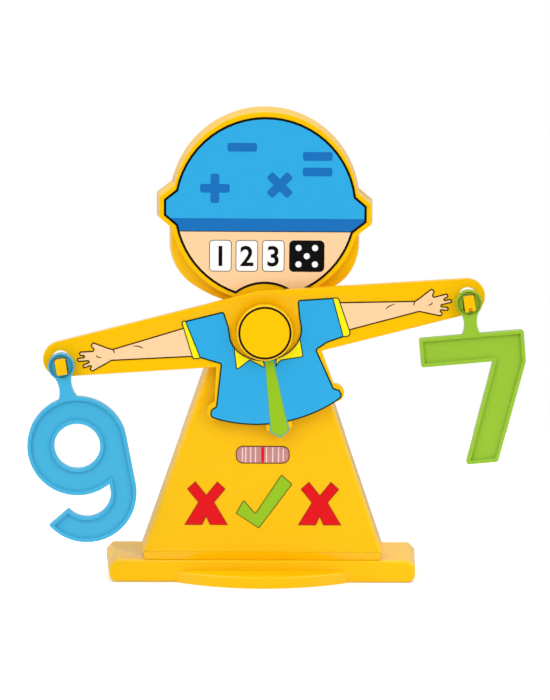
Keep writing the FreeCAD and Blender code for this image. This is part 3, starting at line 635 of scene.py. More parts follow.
@dataclass(frozen=True)
class Moulding:
    """A rigid piece of the frame, with the rounding that its mould leaves on every edge.

    Attributes:
        node: The frame's piece.
        finish: Its plastic.
        edge_mm: Width of the rounding along its edges.
        weld_mm: Vertices nearer to each other than this become one.
        short_mm: Longest edge whose ends may be joined.
        room_share: Length that an edge needs, as a share of what the rounding takes up.
        sharp_angle: Edges that turn more than this are rounded.
        rounding_steps: Faces across the rounding.
    """

    node: str
    finish: Finish
    edge_mm: float

    weld_mm: ClassVar[float] = 0.02
    short_mm: ClassVar[float] = 0.46
    room_share: ClassVar[float] = 1.05
    sharp_angle: ClassVar[float] = 32.0
    rounding_steps: ClassVar[int] = 2

    def build(self) -> bpy.types.Object:
        """Builds the moulding in place of the frame's piece.

        Returns:
            The moulding, riding on the body of the piece that it replaces.
        """
        source = FRAME["nodes"][self.node]
        bm = welded_copy(source, self.weld_mm)
        self._settle_corners(bm)
        piece = to_object(bm, self.node + "_moulding", [self.finish.material])
        bevel = piece.modifiers.new("mould_radius", "BEVEL")
        bevel.width = self.edge_mm * MM
        bevel.offset_type = "WIDTH"
        bevel.loop_slide = False
        bevel.segments = self.rounding_steps
        bevel.limit_method = "ANGLE"
        bevel.angle_limit = math.radians(self.sharp_angle)
        bevel.use_clamp_overlap = False
        bevel.harden_normals = True
        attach(piece, source["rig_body"])
        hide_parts(self.node)
        return piece

    def _settle_corners(self, bm: bmesh.types.BMesh) -> None:
        """Joins the ends of edges that are too short for the rounding of the corners beside them.

        Args:
            bm: The welded mesh of the piece.
        """
        while True:
            sharp = {edge for edge in bm.edges
                     if edge.is_manifold and edge.calc_face_angle() > math.radians(self.sharp_angle)}
            joined: dict[bmesh.types.BMVert, bmesh.types.BMVert] = {}
            used: set[bmesh.types.BMVert] = set()
            for edge in bm.edges:
                if edge not in sharp or edge.calc_length() > self.short_mm * MM:
                    continue
                for loop in edge.link_loops:
                    needs = self._need(loop, sharp), self._need(loop.link_loop_next, sharp)
                    ends = loop.vert, loop.link_loop_next.vert
                    if edge.calc_length() > self.room_share * sum(needs) or used & set(ends):
                        continue
                    keep, drop = ends if needs[0] >= needs[1] else ends[::-1]
                    joined[drop] = keep
                    used |= set(ends)
            if not joined:
                return
            bmesh.ops.weld_verts(bm, targetmap=joined)

    def _need(self, loop: bmesh.types.BMLoop, sharp: set[bmesh.types.BMEdge]) -> float:
        """Length of an edge that the rounding takes up at one corner of a face.

        Args:
            loop: The corner.
            sharp: Edges that get the radius.

        Returns:
            The length, below zero where the corner turns inwards.
        """
        if loop.edge not in sharp or loop.link_loop_prev.edge not in sharp:
            return 0.0
        reach = self.edge_mm * MM * math.tan((math.pi - loop.calc_angle()) / 2)
        return reach if loop.is_convex else -reach


@dataclass(frozen=True)
class Sign:
    """A printed sign made of one bar or two.

    Attributes:
        name: The sign's name.
        place: Middle of the sign.
        turns: Turn of each bar.
        spread: Distance of each of two bars from the middle, across the bars.
    """

    name: str
    place: Point
    turns: tuple[float, ...]
    spread: float = 0.0


@dataclass
class Stand:
    """The figure on its base, with the prints on its panel and head.

    A rise is a height above the pivot, a reach is a distance from the middle plane, and a line is
    the width of an inked line. A step is the angle between two points of a circle.
    """

    panel: Flat = field(default_factory=lambda: Flat("stand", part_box("scale_label")[1].y))
    hub: Flat = field(default_factory=lambda: Flat("stand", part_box("hub_label")[1].y))
    edges_mm: tuple[tuple[str, float], ...] = (("base_housing", 0.3), ("front_shell", 0.7),
                                               ("rear_cover", 0.12), ("hub_cap", 0.5))
    plate_rise: float = 104.3
    plate_radius: float = 77.4
    brim_rise: float = 102.0
    brim_reach: float = 86.1
    brim_half_height: float = 6.9
    brim_slope: float = 0.818
    brim_fall: float = 0.03
    notch_radius: float = 39.5
    head_line: float = 2.0
    band_low: float = 84.0
    band_high: float = 95.5
    band_line: float = 0.7
    tile_rise: float = 63.5
    tile_width: float = 19.0
    tile_height: float = 27.0
    tile_radius: float = 3.0
    tile_line: float = 0.6
    tile_places: tuple[float, ...] = (-38.0, -15.5, 7.0)
    numeral_share: float = 0.62
    die_place: float = 35.5
    die_width: float = 30.0
    die_radius: float = 4.0
    die_dot: float = 2.6
    die_dot_step: float = 10.0
    die_spread_share: float = 0.52
    signs: tuple[Sign, ...] = (Sign("plus", (-43.0, 121.0), (0, 90)),
                               Sign("minus", (-20.0, 156.0), (0,)),
                               Sign("times", (12.0, 124.0), (45, 135)),
                               Sign("equals", (44.0, 142.0), (0, 0), 6.6))
    sign_length: float = 25.0
    sign_width: float = 7.4
    sign_radius: float = 1.8
    hub_radius: float = 22.5
    hub_line: float = 1.7
    hub_step: float = 5.0
    scale_place: Point = (-0.6, -108.5)
    scale_width: float = 46.2
    scale_height: float = 15.4
    scale_corner_share: float = 0.8
    scale_line: float = 0.8
    scale_margin: float = 1.0
    stripe_places: tuple[float, ...] = (-17.4, -14.6, -10.4, -6.2, 3.2, 8.6, 13.6, 17.6)
    stripe_width: float = 1.0
    end_stripe_share: float = 0.8
    middle_stripe_width: float = 2.4
    mark_rise: float = -151.6
    mark_line: float = 0.6
    cross_reach: float = 48.9

    def build(self) -> list[bpy.types.Object]:
        """Builds the stand's mouldings and prints.

        Returns:
            The pieces.
        """
        pieces = [Moulding(node, Finish.YELLOW, edge_mm).build() for node, edge_mm in self.edges_mm]
        pieces += self.head_print() + self.tiles() + self.die() + self.cap_signs()
        pieces += self.hub_print() + self.scale_print() + self.crosses() + self.tick()
        return pieces

    def head_outline(self) -> list[Point]:
        """Outline of the head's print: round plate, brim lugs and the notch round the hub.

        Returns:
            The outline's points, anticlockwise.
        """
        centre = (0.0, self.plate_rise)
        chin = self._notch_corner()
        meets = {(side, up): self._brim_meets_plate(side, up) for side in (-1, 1) for up in (-1, 1)}
        turns = {key: math.degrees(math.atan2(z - self.plate_rise, x))
                 for key, (x, z) in meets.items()}
        chin_turn = math.degrees(math.atan2(chin[1] - self.plate_rise, chin[0]))
        tips = {key: (key[0] * self.brim_reach, self._brim_edge(key[0] * self.brim_reach, key[1]))
                for key in meets}
        outline = arc(centre, self.plate_radius, chin_turn, turns[1, -1])
        outline += [tips[1, -1], tips[1, 1]]
        outline += arc(centre, self.plate_radius, turns[1, 1], turns[-1, 1])
        outline += [tips[-1, 1], tips[-1, -1]]
        outline += arc(centre, self.plate_radius, turns[-1, -1] % 360, 180 - chin_turn)
        notch_turn = math.degrees(math.atan2(chin[1], -chin[0]))
        return outline + arc((0.0, 0.0), self.notch_radius, notch_turn, 180 - notch_turn)[1:-1]

    def _brim_edge(self, x: float, up: int) -> float:
        """Height of the brim's upper or lower edge at a distance from the middle."""
        half = self.brim_half_height + self.brim_slope * (self.brim_reach - abs(x))
        return self.brim_rise - self.brim_fall * x + up * half

    def _brim_meets_plate(self, side: int, up: int, halvings: int = 40) -> Point:
        """Point where an edge of the brim meets the round plate, by halving the span.

        Args:
            side: -1 for the left lug, 1 for the right one.
            up: -1 for the lug's lower edge, 1 for its upper one.
            halvings: How many times the span is halved.

        Returns:
            The point.
        """
        near, far = 0.0, side * self.brim_reach
        for _ in range(halvings):
            x = (near + far) / 2
            z = self._brim_edge(x, up)
            inside = math.hypot(x, z - self.plate_rise) < self.plate_radius
            near, far = (x, far) if inside else (near, x)
        return x, z

    def _notch_corner(self) -> Point:
        """Finds where the notch round the hub meets the edge of the round plate.

        Returns:
            The meeting point on the right.
        """
        gap = self.plate_rise
        drop = (gap ** 2 + self.plate_radius ** 2 - self.notch_radius ** 2) / (2 * gap)
        return math.sqrt(self.plate_radius ** 2 - drop ** 2), self.plate_rise - drop

    def head_print(self) -> list[bpy.types.Object]:
        """Blue field, dark band and plain field below it.

        Returns:
            The head's print.
        """
        stripes = (Stripe(self.band_low, Finish.INK),
                   Stripe(self.band_low + self.band_line, Finish.DARK_BLUE),
                   Stripe(self.band_high, Finish.LIGHT_BLUE))
        piece = Film("head_print", self.head_outline(), Finish.SKIN, line=self.head_line,
                     stripes=stripes).build(self.panel)
        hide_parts("head_label")
        return [piece]

    def tiles(self) -> list[bpy.types.Object]:
        """White tiles with the first three numerals.

        Returns:
            The tiles and numerals.
        """
        pieces = []
        for number, x in enumerate(self.tile_places, 1):
            middle = (x, self.tile_rise)
            outline = block_outline(middle, self.tile_width, self.tile_height, self.tile_radius)
            tile = Film("tile_%d" % number, outline, Finish.WHITE, line=self.tile_line, layer=1)
            numeral = Numeral("numeral_%d" % number, str(number), middle,
                              self.tile_height * self.numeral_share, Finish.INK, layer=2)
            pieces += [tile.build(self.panel), numeral.build(self.panel)]
        return pieces

    def die(self) -> list[bpy.types.Object]:
        """Black die with five white dots, beside the tiles.

        Returns:
            The die and its dots.
        """
        x, z = self.die_place, self.tile_rise
        outline = block_outline((x, z), self.die_width, self.tile_height, self.die_radius)
        pieces = [Film("die", outline, Finish.INK, layer=1).build(self.panel)]
        spread = self.tile_height / 2 * self.die_spread_share
        for number, (across, up) in enumerate(((0, 0), (-1, -1), (1, -1), (1, 1), (-1, 1)), 1):
            dot = circle((x + across * spread, z + up * spread), self.die_dot,
                         self.die_dot_step)
            film = Film("die_dot_%d" % number, dot, Finish.WHITE, layer=2)
            pieces.append(film.build(self.panel))
        return pieces

    def cap_signs(self) -> list[bpy.types.Object]:
        """Plus, minus, times and equals signs on the blue field.

        Returns:
            The signs' bars. The second bar of a sign is one film higher than the first.
        """
        pieces = []
        for sign in self.signs:
            for i, turn in enumerate(sign.turns):
                bar = block_outline((0.0, sign.spread * (2 * i - 1)), self.sign_length,
                                    self.sign_width, self.sign_radius)
                angle = math.radians(turn)
                outline = [(sign.place[0] + x * math.cos(angle) - z * math.sin(angle),
                            sign.place[1] + x * math.sin(angle) + z * math.cos(angle))
                           for x, z in bar]
                film = Film("cap_%s_%d" % (sign.name, i + 1), outline, Finish.DARK_BLUE,
                            layer=1 + i)
                pieces.append(film.build(self.panel))
        return pieces

    def hub_print(self) -> list[bpy.types.Object]:
        """Bare disc inside a black ring, on the cap.

        Returns:
            The hub's print.
        """
        disc = circle((0.0, 0.0), self.hub_radius, self.hub_step)
        piece = Film("hub_ring_print", disc, Finish.HUB, line=self.hub_line).build(self.hub)
        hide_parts("hub_label")
        return [piece]

    def scale_print(self) -> list[bpy.types.Object]:
        """Striped scale with a red middle stripe.

        Returns:
            The scale's base and its stripes. The stripes in its rounded ends are shorter.
        """
        corner = self.scale_height / 2 * self.scale_corner_share
        strip = block_outline(self.scale_place, self.scale_width, self.scale_height, corner)
        base = Film("scale_print", strip, Finish.ROSE, Finish.BROWN, self.scale_line).build(self.panel)
        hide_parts("scale_label")
        pieces = [base]
        inner = self.scale_height / 2 - self.scale_margin
        for number, shift in enumerate(self.stripe_places, 1):
            straight = abs(shift) < self.scale_width / 2 - corner
            half_height = inner if straight else inner * self.end_stripe_share
            pieces.append(self._scale_stripe(number, shift, self.stripe_width, half_height,
                                             Finish.PALE_ROSE))
        pieces.append(self._scale_stripe(0, 0.0, self.middle_stripe_width, inner, Finish.RED))
        return pieces

    def _scale_stripe(self, number: int, shift: float, width: float, half_height: float,
                      finish: Finish) -> bpy.types.Object:
        """One upright stripe of the scale.

        Args:
            number: Its number in the names of the pieces.
            shift: Its distance from the scale's middle, to the right.
            width: Its width.
            half_height: Half of its height.
            finish: Its ink.

        Returns:
            The stripe.
        """
        x, z = self.scale_place
        outline = block_outline((x + shift, z), width, 2 * half_height, 0.0)
        return Film("scale_line_%d" % number, outline, finish, layer=1).build(self.panel)

    def crosses(self) -> list[bpy.types.Object]:
        """Plain red crosses on both sides of the tick.

        Returns:
            The crosses, the left one first.
        """
        right = [(3.2, -18.6), (18.8, -18.6), (7.0, 1.2), (16.6, 13.0), (9.4, 19.6), (0.0, 7.8)]
        shape = right + mirrored(right[:-1]) + [(0.0, -11.4)]
        pieces = []
        for side in Side:
            outline = [(x + side.value * self.cross_reach, z + self.mark_rise) for x, z in shape]
            film = Film("cross_print_" + side.word, outline, Finish.RED, Finish.DARK_RED,
                        self.mark_line)
            piece = film.build(self.panel)
            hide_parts("cross_label_" + side.word)
            pieces.append(piece)
        return pieces

    def tick(self) -> list[bpy.types.Object]:
        """Plain green tick between the crosses.

        Returns:
            The tick.
        """
        shape = rounded([(-3.4, -21.5, 0.6), (25.1, 17.4, 0.8), (15.7, 25.9, 0.8), (-6.6, -8.3, 0.8),
                         (-16.8, 3.6, 1.0), (-23.4, -8.4, 0.8)])
        outline = [(x, z + self.mark_rise) for x, z in shape]
        film = Film("tick_print", outline, Finish.LEAF, Finish.SHIRT_LINE, self.mark_line)
        piece = film.build(self.panel)
        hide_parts("tick_label")
        return [piece]


@dataclass(frozen=True)
class ArmRoot:
    """Where an arm comes out of its sleeve.

    Attributes:
        side: The arm's side.
        low: Lower corner of the arm's root, drawn on the right.
        high: Upper corner.
        lift: How far the whole arm is raised.
    """

    side: Side
    low: Point
    high: Point
    lift: float


@dataclass
class Beam:
    """The tilting beam: arms, shirt and pointer.

    Its prints are drawn level, about the pivot, and a line is the width of an inked line.
    """

    level_tilt: float = field(default_factory=lambda: -TILT["range_deg"][1] / 2)
    edge_mm: float = 0.6
    neck_middle: float = 0.6
    neck_half_width: float = 30.2
    neck_drop: float = 24.4
    hem_drop: float = 80.0
    hem_radius: float = 124.3
    hem_reach: float = 50.0
    hem_step: float = 4.0
    shirt_line: float = 1.2
    trim_line: float = 0.9
    tie_line: float = 1.1
    arm_line: float = 1.05
    finger_tip: float = 1.7
    finger_web: float = 0.5
    arm_roots: tuple[ArmRoot, ...] = (ArmRoot(Side.RIGHT, (68.0, -12.2), (65.0, 13.6), 1.9),
                                      ArmRoot(Side.LEFT, (60.9, -13.0), (66.6, 13.4), 0.8))
    crease_line: float = 0.95
    crease_steps: int = 8
    crease_end_share: float = 0.4
    flat: Flat = field(init=False)

    def __post_init__(self) -> None:
        """Sets the beam's front, tilted about the pivot."""
        self.flat = Flat("beam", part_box("shirt_label")[1].y, self.level_tilt)

    def build(self) -> list[bpy.types.Object]:
        """Builds the beam's moulding and prints."""
        pieces = [Moulding("balance_beam", Finish.BEAM, self.edge_mm).build()]
        return pieces + self.shirt() + self.cuffs() + self.collar() + self.arms()

    def neck_edge(self, start: float, end: float) -> list[Point]:
        """Points of the shirt's oval neckline.

        Args:
            start: First angle, anticlockwise from the right.
            end: Last angle.

        Returns:
            The points, both ends included.
        """
        return [(self.neck_middle + self.neck_half_width * x, self.neck_drop * z)
                for x, z in arc((0.0, 0.0), 1.0, start, end)]

    def shirt(self) -> list[bpy.types.Object]:
        """Shirt between the neckline and the hem.

        Returns:
            The shirt's print.
        """
        body = [(self.hem_reach, -69.5, 0), (57.4, -65.6, 3.4), (55.6, -59.5, 2.6), (50.8, -57.2, 2.0)]
        right_side = body + [(41.2, -22.2, 1.4), (51.7, -17.4, 3.0), (67.0, -14.7, 0),
                             (63.0, 19.7, 0), (31.6, 22.6, 2.6), (30.6, 8.0, 0)]
        left_side = body + [(41.2, -21.8, 1.4), (58.9, -13.3, 0), (66.7, 19.5, 0),
                            (31.6, 22.6, 2.6), (29.4, 8.0, 0)]
        swing = math.degrees(math.asin(self.hem_reach / self.hem_radius))
        hem = arc((0.0, self.hem_radius - self.hem_drop), self.hem_radius, -90 - swing, -90 + swing,
                  self.hem_step)
        right = rounded(right_side)[1:]
        left = mirrored(rounded(left_side)[1:])
        outline = hem + right + self.neck_edge(0, -180) + left
        film = Film("shirt_print", outline, Finish.LIGHT_BLUE, Finish.SHIRT_LINE, self.shirt_line)
        piece = film.build(self.flat)
        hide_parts("shirt_label")
        return [piece]

    def cuffs(self) -> list[bpy.types.Object]:
        """Cuff at the end of each sleeve.

        Returns:
            The cuffs, the right one first.
        """
        corners = {Side.RIGHT: [(65.0, -15.1, 1.2), (72.6, -15.0, 3.2), (66.6, 19.4, 3.2),
                                (61.0, 20.1, 1.2)],
                   Side.LEFT: [(57.0, -14.2, 1.2), (64.1, -14.4, 3.2), (69.0, 20.0, 2.2),
                               (64.9, 20.1, 1.2)]}
        return [Film("cuff_print_" + side.word, side.outline(rounded(places)), Finish.LEMON,
                     Finish.SHIRT_LINE, self.trim_line, layer=1).build(self.flat)
                for side, places in corners.items()]

    def collar(self) -> list[bpy.types.Object]:
        """Pointed collar under the neckline, and the tie down to the pointer's tip.

        Returns:
            Both halves of the collar, the left one first, and the tie.
        """
        left = self.neck_edge(-100, -161) + rounded([
            (-28.6, -15.0, 0), (-29.0, -29.6, 1.6), (-16.3, -22.4, 0.4), (-6.2, -30.6, 0)])[:-1]
        right = rounded([(4.4, -32.2, 0), (9.4, -26.6, 5.0), (29.4, -26.6, 2.0),
                         (29.3, -16.0, 0)]) + self.neck_edge(-20, -80)
        shapes = {Side.LEFT: left + [(-4.0, -31.6)], Side.RIGHT: right}
        pieces = [Film("collar_print_" + side.word, outline, Finish.LEMON, Finish.SHIRT_LINE,
                       self.trim_line, layer=1).build(self.flat) for side, outline in shapes.items()]
        tie = [(0.0, -93.0), (8.0, -87.2), (4.2, -24.6), (-4.2, -24.6), (-8.6, -87.0)]
        film = Film("pointer_print", tie, Finish.LEAF, Finish.TEAL, self.tie_line, layer=2)
        return pieces + [film.build(self.flat)]

    def arms(self) -> list[bpy.types.Object]:
        """Forearm and open hand on each arm, with the creases of elbow, wrist and palm.

        Returns:
            Each arm and its creases, the right arm first.
        """
        tip, web = self.finger_tip, self.finger_web
        hand = [(132.4, -5.4, 2.0),
                (150.2, -12.2, tip), (152.9, -9.2, tip), (148.4, -6.4, web),
                (157.0, -8.4, tip), (158.2, -5.0, tip), (149.2, -2.9, web),
                (161.4, -1.9, tip), (161.4, 1.7, tip), (149.8, 1.1, web),
                (159.2, 3.2, tip), (158.4, 6.8, tip), (145.2, 5.4, 1.0),
                (148.4, 10.2, tip), (145.6, 13.0, tip),
                (134.0, 6.4, 2.0), (130.0, 4.6, 2.0)]
        creases = [self.stroke((104.6, 1.0), (107.9, 3.4), (112.8, 4.4)),
                   self.stroke((129.0, 0.6), (129.1, 2.4), (130.4, 4.0)),
                   self.stroke((140.5, -1.1), (143.8, -0.2), (144.2, 1.6))]
        pieces = []
        for root in self.arm_roots:
            word = root.side.word
            arm = rounded([(*root.low, 0), *hand, (*root.high, 0)])
            arm, *lines = [root.side.outline([(x, z + root.lift) for x, z in shape])
                           for shape in [arm, *creases]]
            film = Film("arm_print_" + word, arm, Finish.SKIN, Finish.DARK_BROWN, self.arm_line)
            piece = film.build(self.flat)
            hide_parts("arm_label_" + word)
            pieces.append(piece)
            for number, line in enumerate(lines, 1):
                film = Film("crease_print_%s_%d" % (word, number), line, Finish.DARK_BROWN, layer=1)
                pieces.append(film.build(self.flat))
        return pieces

    def stroke(self, first: Point, middle: Point, last: Point) -> list[Point]:
        """Outline of a thin bent line through three points, finer at both ends.

        Args:
            first: Start of the line.
            middle: Point halfway along it.
            last: End of the line.

        Returns:
            The outline's points, anticlockwise.
        """
        a, b, c = Vector(first), Vector(middle), Vector(last)
        below: list[Point] = []
        above: list[Point] = []
        for i in range(self.crease_steps + 1):
            t = i / self.crease_steps
            place = a * (1 - t) * (1 - 2 * t) + b * 4 * t * (1 - t) + c * t * (2 * t - 1)
            slope = a * (4 * t - 3) + b * (4 - 8 * t) + c * (4 * t - 1)
            share = self.crease_end_share + (1 - self.crease_end_share) * math.sin(math.pi * t)
            across = Vector((-slope.y, slope.x)).normalized() * (self.crease_line / 2 * share)
            below.append(tuple(place - across))
            above.append(tuple(place + across))
        return below + above[::-1]


@dataclass
class HangingNumbers:
    """The nine and the seven on their pegs."""

    edge_mm: float = 0.4

    def build(self) -> list[bpy.types.Object]:
        """Builds both numbers."""
        return [Moulding("digit_nine", Finish.BLUE, self.edge_mm).build(),
                Moulding("digit_seven", Finish.GREEN, self.edge_mm).build()]


@dataclass(frozen=True)
class CrossScrews:
    """A set of screws whose heads face one way, with a cross recess in each head.

    Attributes:
        node: The frame's piece that holds the screws.
        facing: Direction that the heads face.
        across: First direction of the cross.
        weld_mm: Vertices nearer to each other than this become one.
        cut_weld_mm: Vertices nearer to a cut than this count as lying on it.
        arm_mm: Reach of the cross from the middle of the head.
        half_mm: Half of the width of its arms.
        depth_mm: Depth of the cross.
        level_share: Least cosine between the facing direction and a face that looks that way.
    """

    node: str
    facing: Place
    across: Place = (1.0, 0.0, 0.0)

    weld_mm: ClassVar[float] = 0.01
    cut_weld_mm: ClassVar[float] = 0.001
    arm_mm: ClassVar[float] = 1.7
    half_mm: ClassVar[float] = 0.36
    depth_mm: ClassVar[float] = 0.8
    level_share: ClassVar[float] = 0.99

    def build(self) -> bpy.types.Object:
        """Builds the screws in place of the frame's piece.

        Returns:
            The screws, riding on the body of the piece that they replace.
        """
        source = FRAME["nodes"][self.node]
        bm = welded_copy(source, self.weld_mm)
        for middle in self._head_middles(bm):
            self._cut_cross(bm, middle)
        piece = to_object(bm, self.node + "_crossed", [Finish.STEEL.material])
        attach(piece, source["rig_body"])
        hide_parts(self.node)
        return piece

    def _facing_faces(self, bm: bmesh.types.BMesh) -> list[bmesh.types.BMFace]:
        """Faces that look the way the heads face."""
        facing = Vector(self.facing)
        return [face for face in bm.faces if face.normal.dot(facing) > self.level_share]

    def _head_middles(self, bm: bmesh.types.BMesh) -> list[Vector]:
        """Finds the middle of each head's flat top, the furthest faces on the facing side.

        Args:
            bm: The screws.

        Returns:
            The middles.
        """
        facing = Vector(self.facing)
        middles = [face.calc_center_bounds() for face in self._facing_faces(bm)]
        furthest = max(middle.dot(facing) for middle in middles)
        return [middle for middle in middles if middle.dot(facing) > furthest - self.weld_mm * MM]

    def _top_faces(self, bm: bmesh.types.BMesh, middle: Vector) -> list[bmesh.types.BMFace]:
        """Finds the faces of one head's flat top.

        Args:
            bm: The screws.
            middle: Middle of the head's top.

        Returns:
            The faces.
        """
        faces = []
        for face in self._facing_faces(bm):
            offset = face.calc_center_bounds() - middle
            level = abs(offset.dot(Vector(self.facing))) < self.weld_mm * MM
            if level and offset.length < 2 * self.arm_mm * MM:
                faces.append(face)
        return faces

    def _cut_cross(self, bm: bmesh.types.BMesh, middle: Vector) -> None:
        """Cuts the cross out of one head's flat top and sinks it.

        Args:
            bm: The screws.
            middle: Middle of the head's top.
        """
        facing = Vector(self.facing)
        across = Vector(self.across)
        along = facing.cross(across)
        arm, half = self.arm_mm * MM, self.half_mm * MM
        for way in (across, along):
            for place in (-arm, -half, half, arm):
                faces = self._top_faces(bm, middle)
                geometry = {part for face in faces for part in [face, *face.edges, *face.verts]}
                bmesh.ops.bisect_plane(bm, geom=list(geometry), dist=self.cut_weld_mm * MM,
                                       plane_co=middle + way * place, plane_no=way)
        sunk = []
        for face in self._top_faces(bm, middle):
            offset = face.calc_center_bounds() - middle
            short, long = sorted((abs(offset.dot(across)), abs(offset.dot(along))))
            if short < half and long < arm:
                sunk.append(face)
        grown = bmesh.ops.extrude_face_region(bm, geom=sunk)
        moved = [part for part in grown["geom"] if isinstance(part, bmesh.types.BMVert)]
        bmesh.ops.translate(bm, verts=moved, vec=-facing * self.depth_mm * MM)
        bmesh.ops.delete(bm, geom=sunk, context="FACES")


@dataclass
class Fasteners:
    """Screws and the pivot's washer."""

    hidden: tuple[str, ...] = ("pivot_screw", "pivot_washer")

    def build(self) -> list[bpy.types.Object]:
        """Builds the screws that show, and dresses the frame's own hidden fasteners.

        Returns:
            The hidden fasteners and the screws.
        """
        pieces = [FRAME["nodes"][name] for name in self.hidden]
        for piece in pieces:
            piece.data.materials.clear()
            piece.data.materials.append(Finish.STEEL.material)
        return pieces + [CrossScrews("cover_screws", (0.0, 1.0, 0.0)).build(),
                         CrossScrews("base_screws", (0.0, 0.0, -1.0)).build()]


@dataclass(frozen=True)
class Lamp:
    """A soft square lamp.

    Attributes:
        name: Name of the lamp.
        place: Its middle.
        size: Length of its sides.
        power: Its power in watts.
    """

    name: str
    place: Place
    size: float
    power: float

    def build(self, aim: Place) -> None:
        """Hangs the lamp and points it.

        Args:
            aim: Place that it points at.
        """
        light = bpy.data.lights.new(self.name, "AREA")
        light.size = self.size
        light.energy = self.power
        holder = bpy.data.objects.new(self.name, light)
        holder.location = self.place
        way = Vector(aim) - Vector(self.place)
        holder.rotation_euler = way.to_track_quat("-Z", "Y").to_euler()
        bpy.context.scene.collection.objects.link(holder)


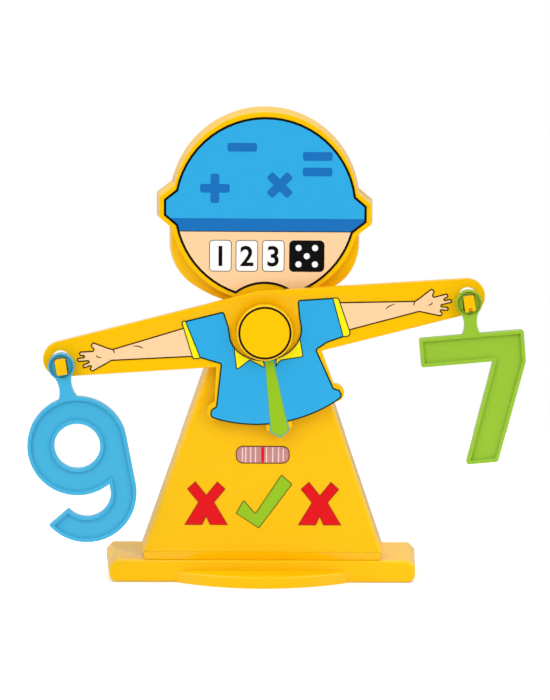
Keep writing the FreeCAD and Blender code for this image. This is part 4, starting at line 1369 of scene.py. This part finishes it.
@dataclass
class Studio:
    """Pale floor, soft light and the photograph's camera.

    Attributes:
        camera_place: Place of the camera, its Y counted from the panel's front.
        azimuth: How far it looks to the right, from its place left of the middle plane.
        pitch: How far it looks down.
        roll: How far it is turned about its own axis.
        lens_mm: Focal length for a sensor of sensor_mm.
        view_end: Distance that the camera sees.
        floor_glow: Light that the floor adds to the camera's own view of it.
        world_strength: Strength of the white light from the world.
        wall_strength: Strength of the pale walls that reflections see.
        dark_front: Strength of the dark front that they see.
        wall_span: Y of a ray's direction, from the darkest front to the full walls.
        light_span: Y of a ray's direction, from no light to the full light.
        aim: Place that the lamps point at.
        lamps: The lamps.
    """

    camera_place: Place = (-0.0547, -2.6135, 0.6042)
    azimuth: float = 1.4
    pitch: float = 8.7
    roll: float = 0.5
    lens_mm: float = 202.5
    sensor_mm: float = 36.0
    view_end: float = 100.0
    floor_size: float = 1.4
    floor_colour: str = "#F2F2F2"
    floor_glow: float = 0.22
    world_strength: float = 1.05
    wall_strength: float = 0.5
    dark_front: float = 0.05
    wall_span: Span = (-0.95, -0.45)
    light_span: Span = (-0.965, -0.82)
    aim: Place = (0.0, 0.0, 0.2)
    lamps: tuple[Lamp, ...] = (Lamp("key_lamp", (-1.3, -1.7, 1.9), 1.6, 16.0),
                               Lamp("fill_lamp", (1.5, -1.6, 1.3), 1.6, 9.0),
                               Lamp("top_lamp", (0.0, 0.25, 2.4), 2.0, 13.0))

    def build(self) -> None:
        """Sets up the floor, the lamps, the world and the camera."""
        scene = bpy.context.scene
        scene.view_settings.view_transform = "Standard"
        self._floor()
        self._world(scene)
        for lamp in self.lamps:
            lamp.build(self.aim)
        self._camera(scene)

    def _floor(self) -> None:
        """Pale floor, white to the camera and still shaded under the toy."""
        bm = bmesh.new()
        bmesh.ops.create_grid(bm, x_segments=1, y_segments=1, size=self.floor_size / 2)
        material, tree = new_material("pale_floor_paint")
        paths = add_node(tree, "ShaderNodeLightPath")
        paint = add_node(tree, "ShaderNodeBsdfDiffuse", {"Color": linear(self.floor_colour)})
        glow = add_node(tree, "ShaderNodeEmission", {"Strength": self.floor_glow})
        lit = add_node(tree, "ShaderNodeAddShader",
                       links={0: paint.outputs["BSDF"], 1: glow.outputs["Emission"]})
        seen = add_node(tree, "ShaderNodeMixShader",
                        links={"Fac": paths.outputs["Is Camera Ray"], 1: paint.outputs["BSDF"],
                               2: lit.outputs["Shader"]})
        add_node(tree, "ShaderNodeOutputMaterial", links={"Surface": seen.outputs["Shader"]})
        floor = to_object(bm, "floor", [material])
        floor.visible_glossy = False

    def _world(self, scene: bpy.types.Scene) -> None:
        """Even white light from all but the front; reflections see pale walls and a dark front.

        Args:
            scene: Scene that gets the world.
        """
        world = bpy.data.worlds.new("studio_world")
        world.use_nodes = True
        scene.world = world
        tree = world.node_tree
        tree.nodes.clear()
        paths = add_node(tree, "ShaderNodeLightPath")
        ray = add_node(tree, "ShaderNodeTexCoord")
        parts = add_node(tree, "ShaderNodeSeparateXYZ", links={"Vector": ray.outputs["Generated"]})
        room = add_node(tree, "ShaderNodeMapRange",
                        {"From Min": self.wall_span[0], "From Max": self.wall_span[1],
                         "To Min": self.dark_front, "To Max": self.wall_strength},
                        {"Value": parts.outputs["Y"]}, interpolation_type="SMOOTHSTEP")
        shade = add_node(tree, "ShaderNodeMapRange",
                         {"From Min": self.light_span[0], "From Max": self.light_span[1],
                          "To Max": self.world_strength},
                         {"Value": parts.outputs["Y"]}, interpolation_type="SMOOTHSTEP")
        light = add_node(tree, "ShaderNodeBackground", {"Color": WHITE_LIGHT},
                         {"Strength": shade.outputs["Result"]})
        walls = add_node(tree, "ShaderNodeBackground", {"Color": WHITE_LIGHT},
                         {"Strength": room.outputs["Result"]})
        white = add_node(tree, "ShaderNodeBackground", {"Color": WHITE_LIGHT, "Strength": 1.0})
        mirror_rays = add_node(tree, "ShaderNodeMath",
                               links={0: paths.outputs["Is Glossy Ray"],
                                      1: paths.outputs["Is Transmission Ray"]},
                               operation="MAXIMUM")
        seen = add_node(tree, "ShaderNodeMixShader",
                        links={"Fac": mirror_rays.outputs["Value"], 1: light.outputs["Background"],
                               2: walls.outputs["Background"]})
        mix = add_node(tree, "ShaderNodeMixShader",
                       links={"Fac": paths.outputs["Is Camera Ray"], 1: seen.outputs["Shader"],
                              2: white.outputs["Background"]})
        add_node(tree, "ShaderNodeOutputWorld", links={"Surface": mix.outputs["Shader"]})

    def _camera(self, scene: bpy.types.Scene) -> None:
        """Camera in front of the toy, a little to its left and above it, as in the photograph.

        Args:
            scene: Scene that gets the camera.
        """
        camera = bpy.data.cameras.new("camera")
        camera.sensor_fit = "HORIZONTAL"
        camera.sensor_width = self.sensor_mm
        camera.lens = self.lens_mm
        camera.clip_end = self.view_end
        holder = bpy.data.objects.new("camera", camera)
        holder.location = Vector(self.camera_place) + Vector((0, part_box("scale_label")[1].y, 0))
        swing = Matrix.Rotation(math.radians(-self.azimuth), 4, "Z")
        turn = Matrix.Rotation(math.radians(90 - self.pitch), 4, "X")
        spin = Matrix.Rotation(math.radians(self.roll), 4, "Z")
        holder.rotation_euler = (swing @ turn @ spin).to_euler()
        scene.collection.objects.link(holder)
        scene.camera = holder


def main() -> None:
    """Builds the studio and the toy, and reports each piece."""
    logging.basicConfig(level=logging.INFO, format="%(name)s: %(message)s")
    Studio().build()
    for assembly in (Stand(), Beam(), HangingNumbers(), Fasteners()):
        for piece in assembly.build():
            LOG.info("%s: %s", type(assembly).__name__, piece.name)


if __name__ == "__main__":
    main()
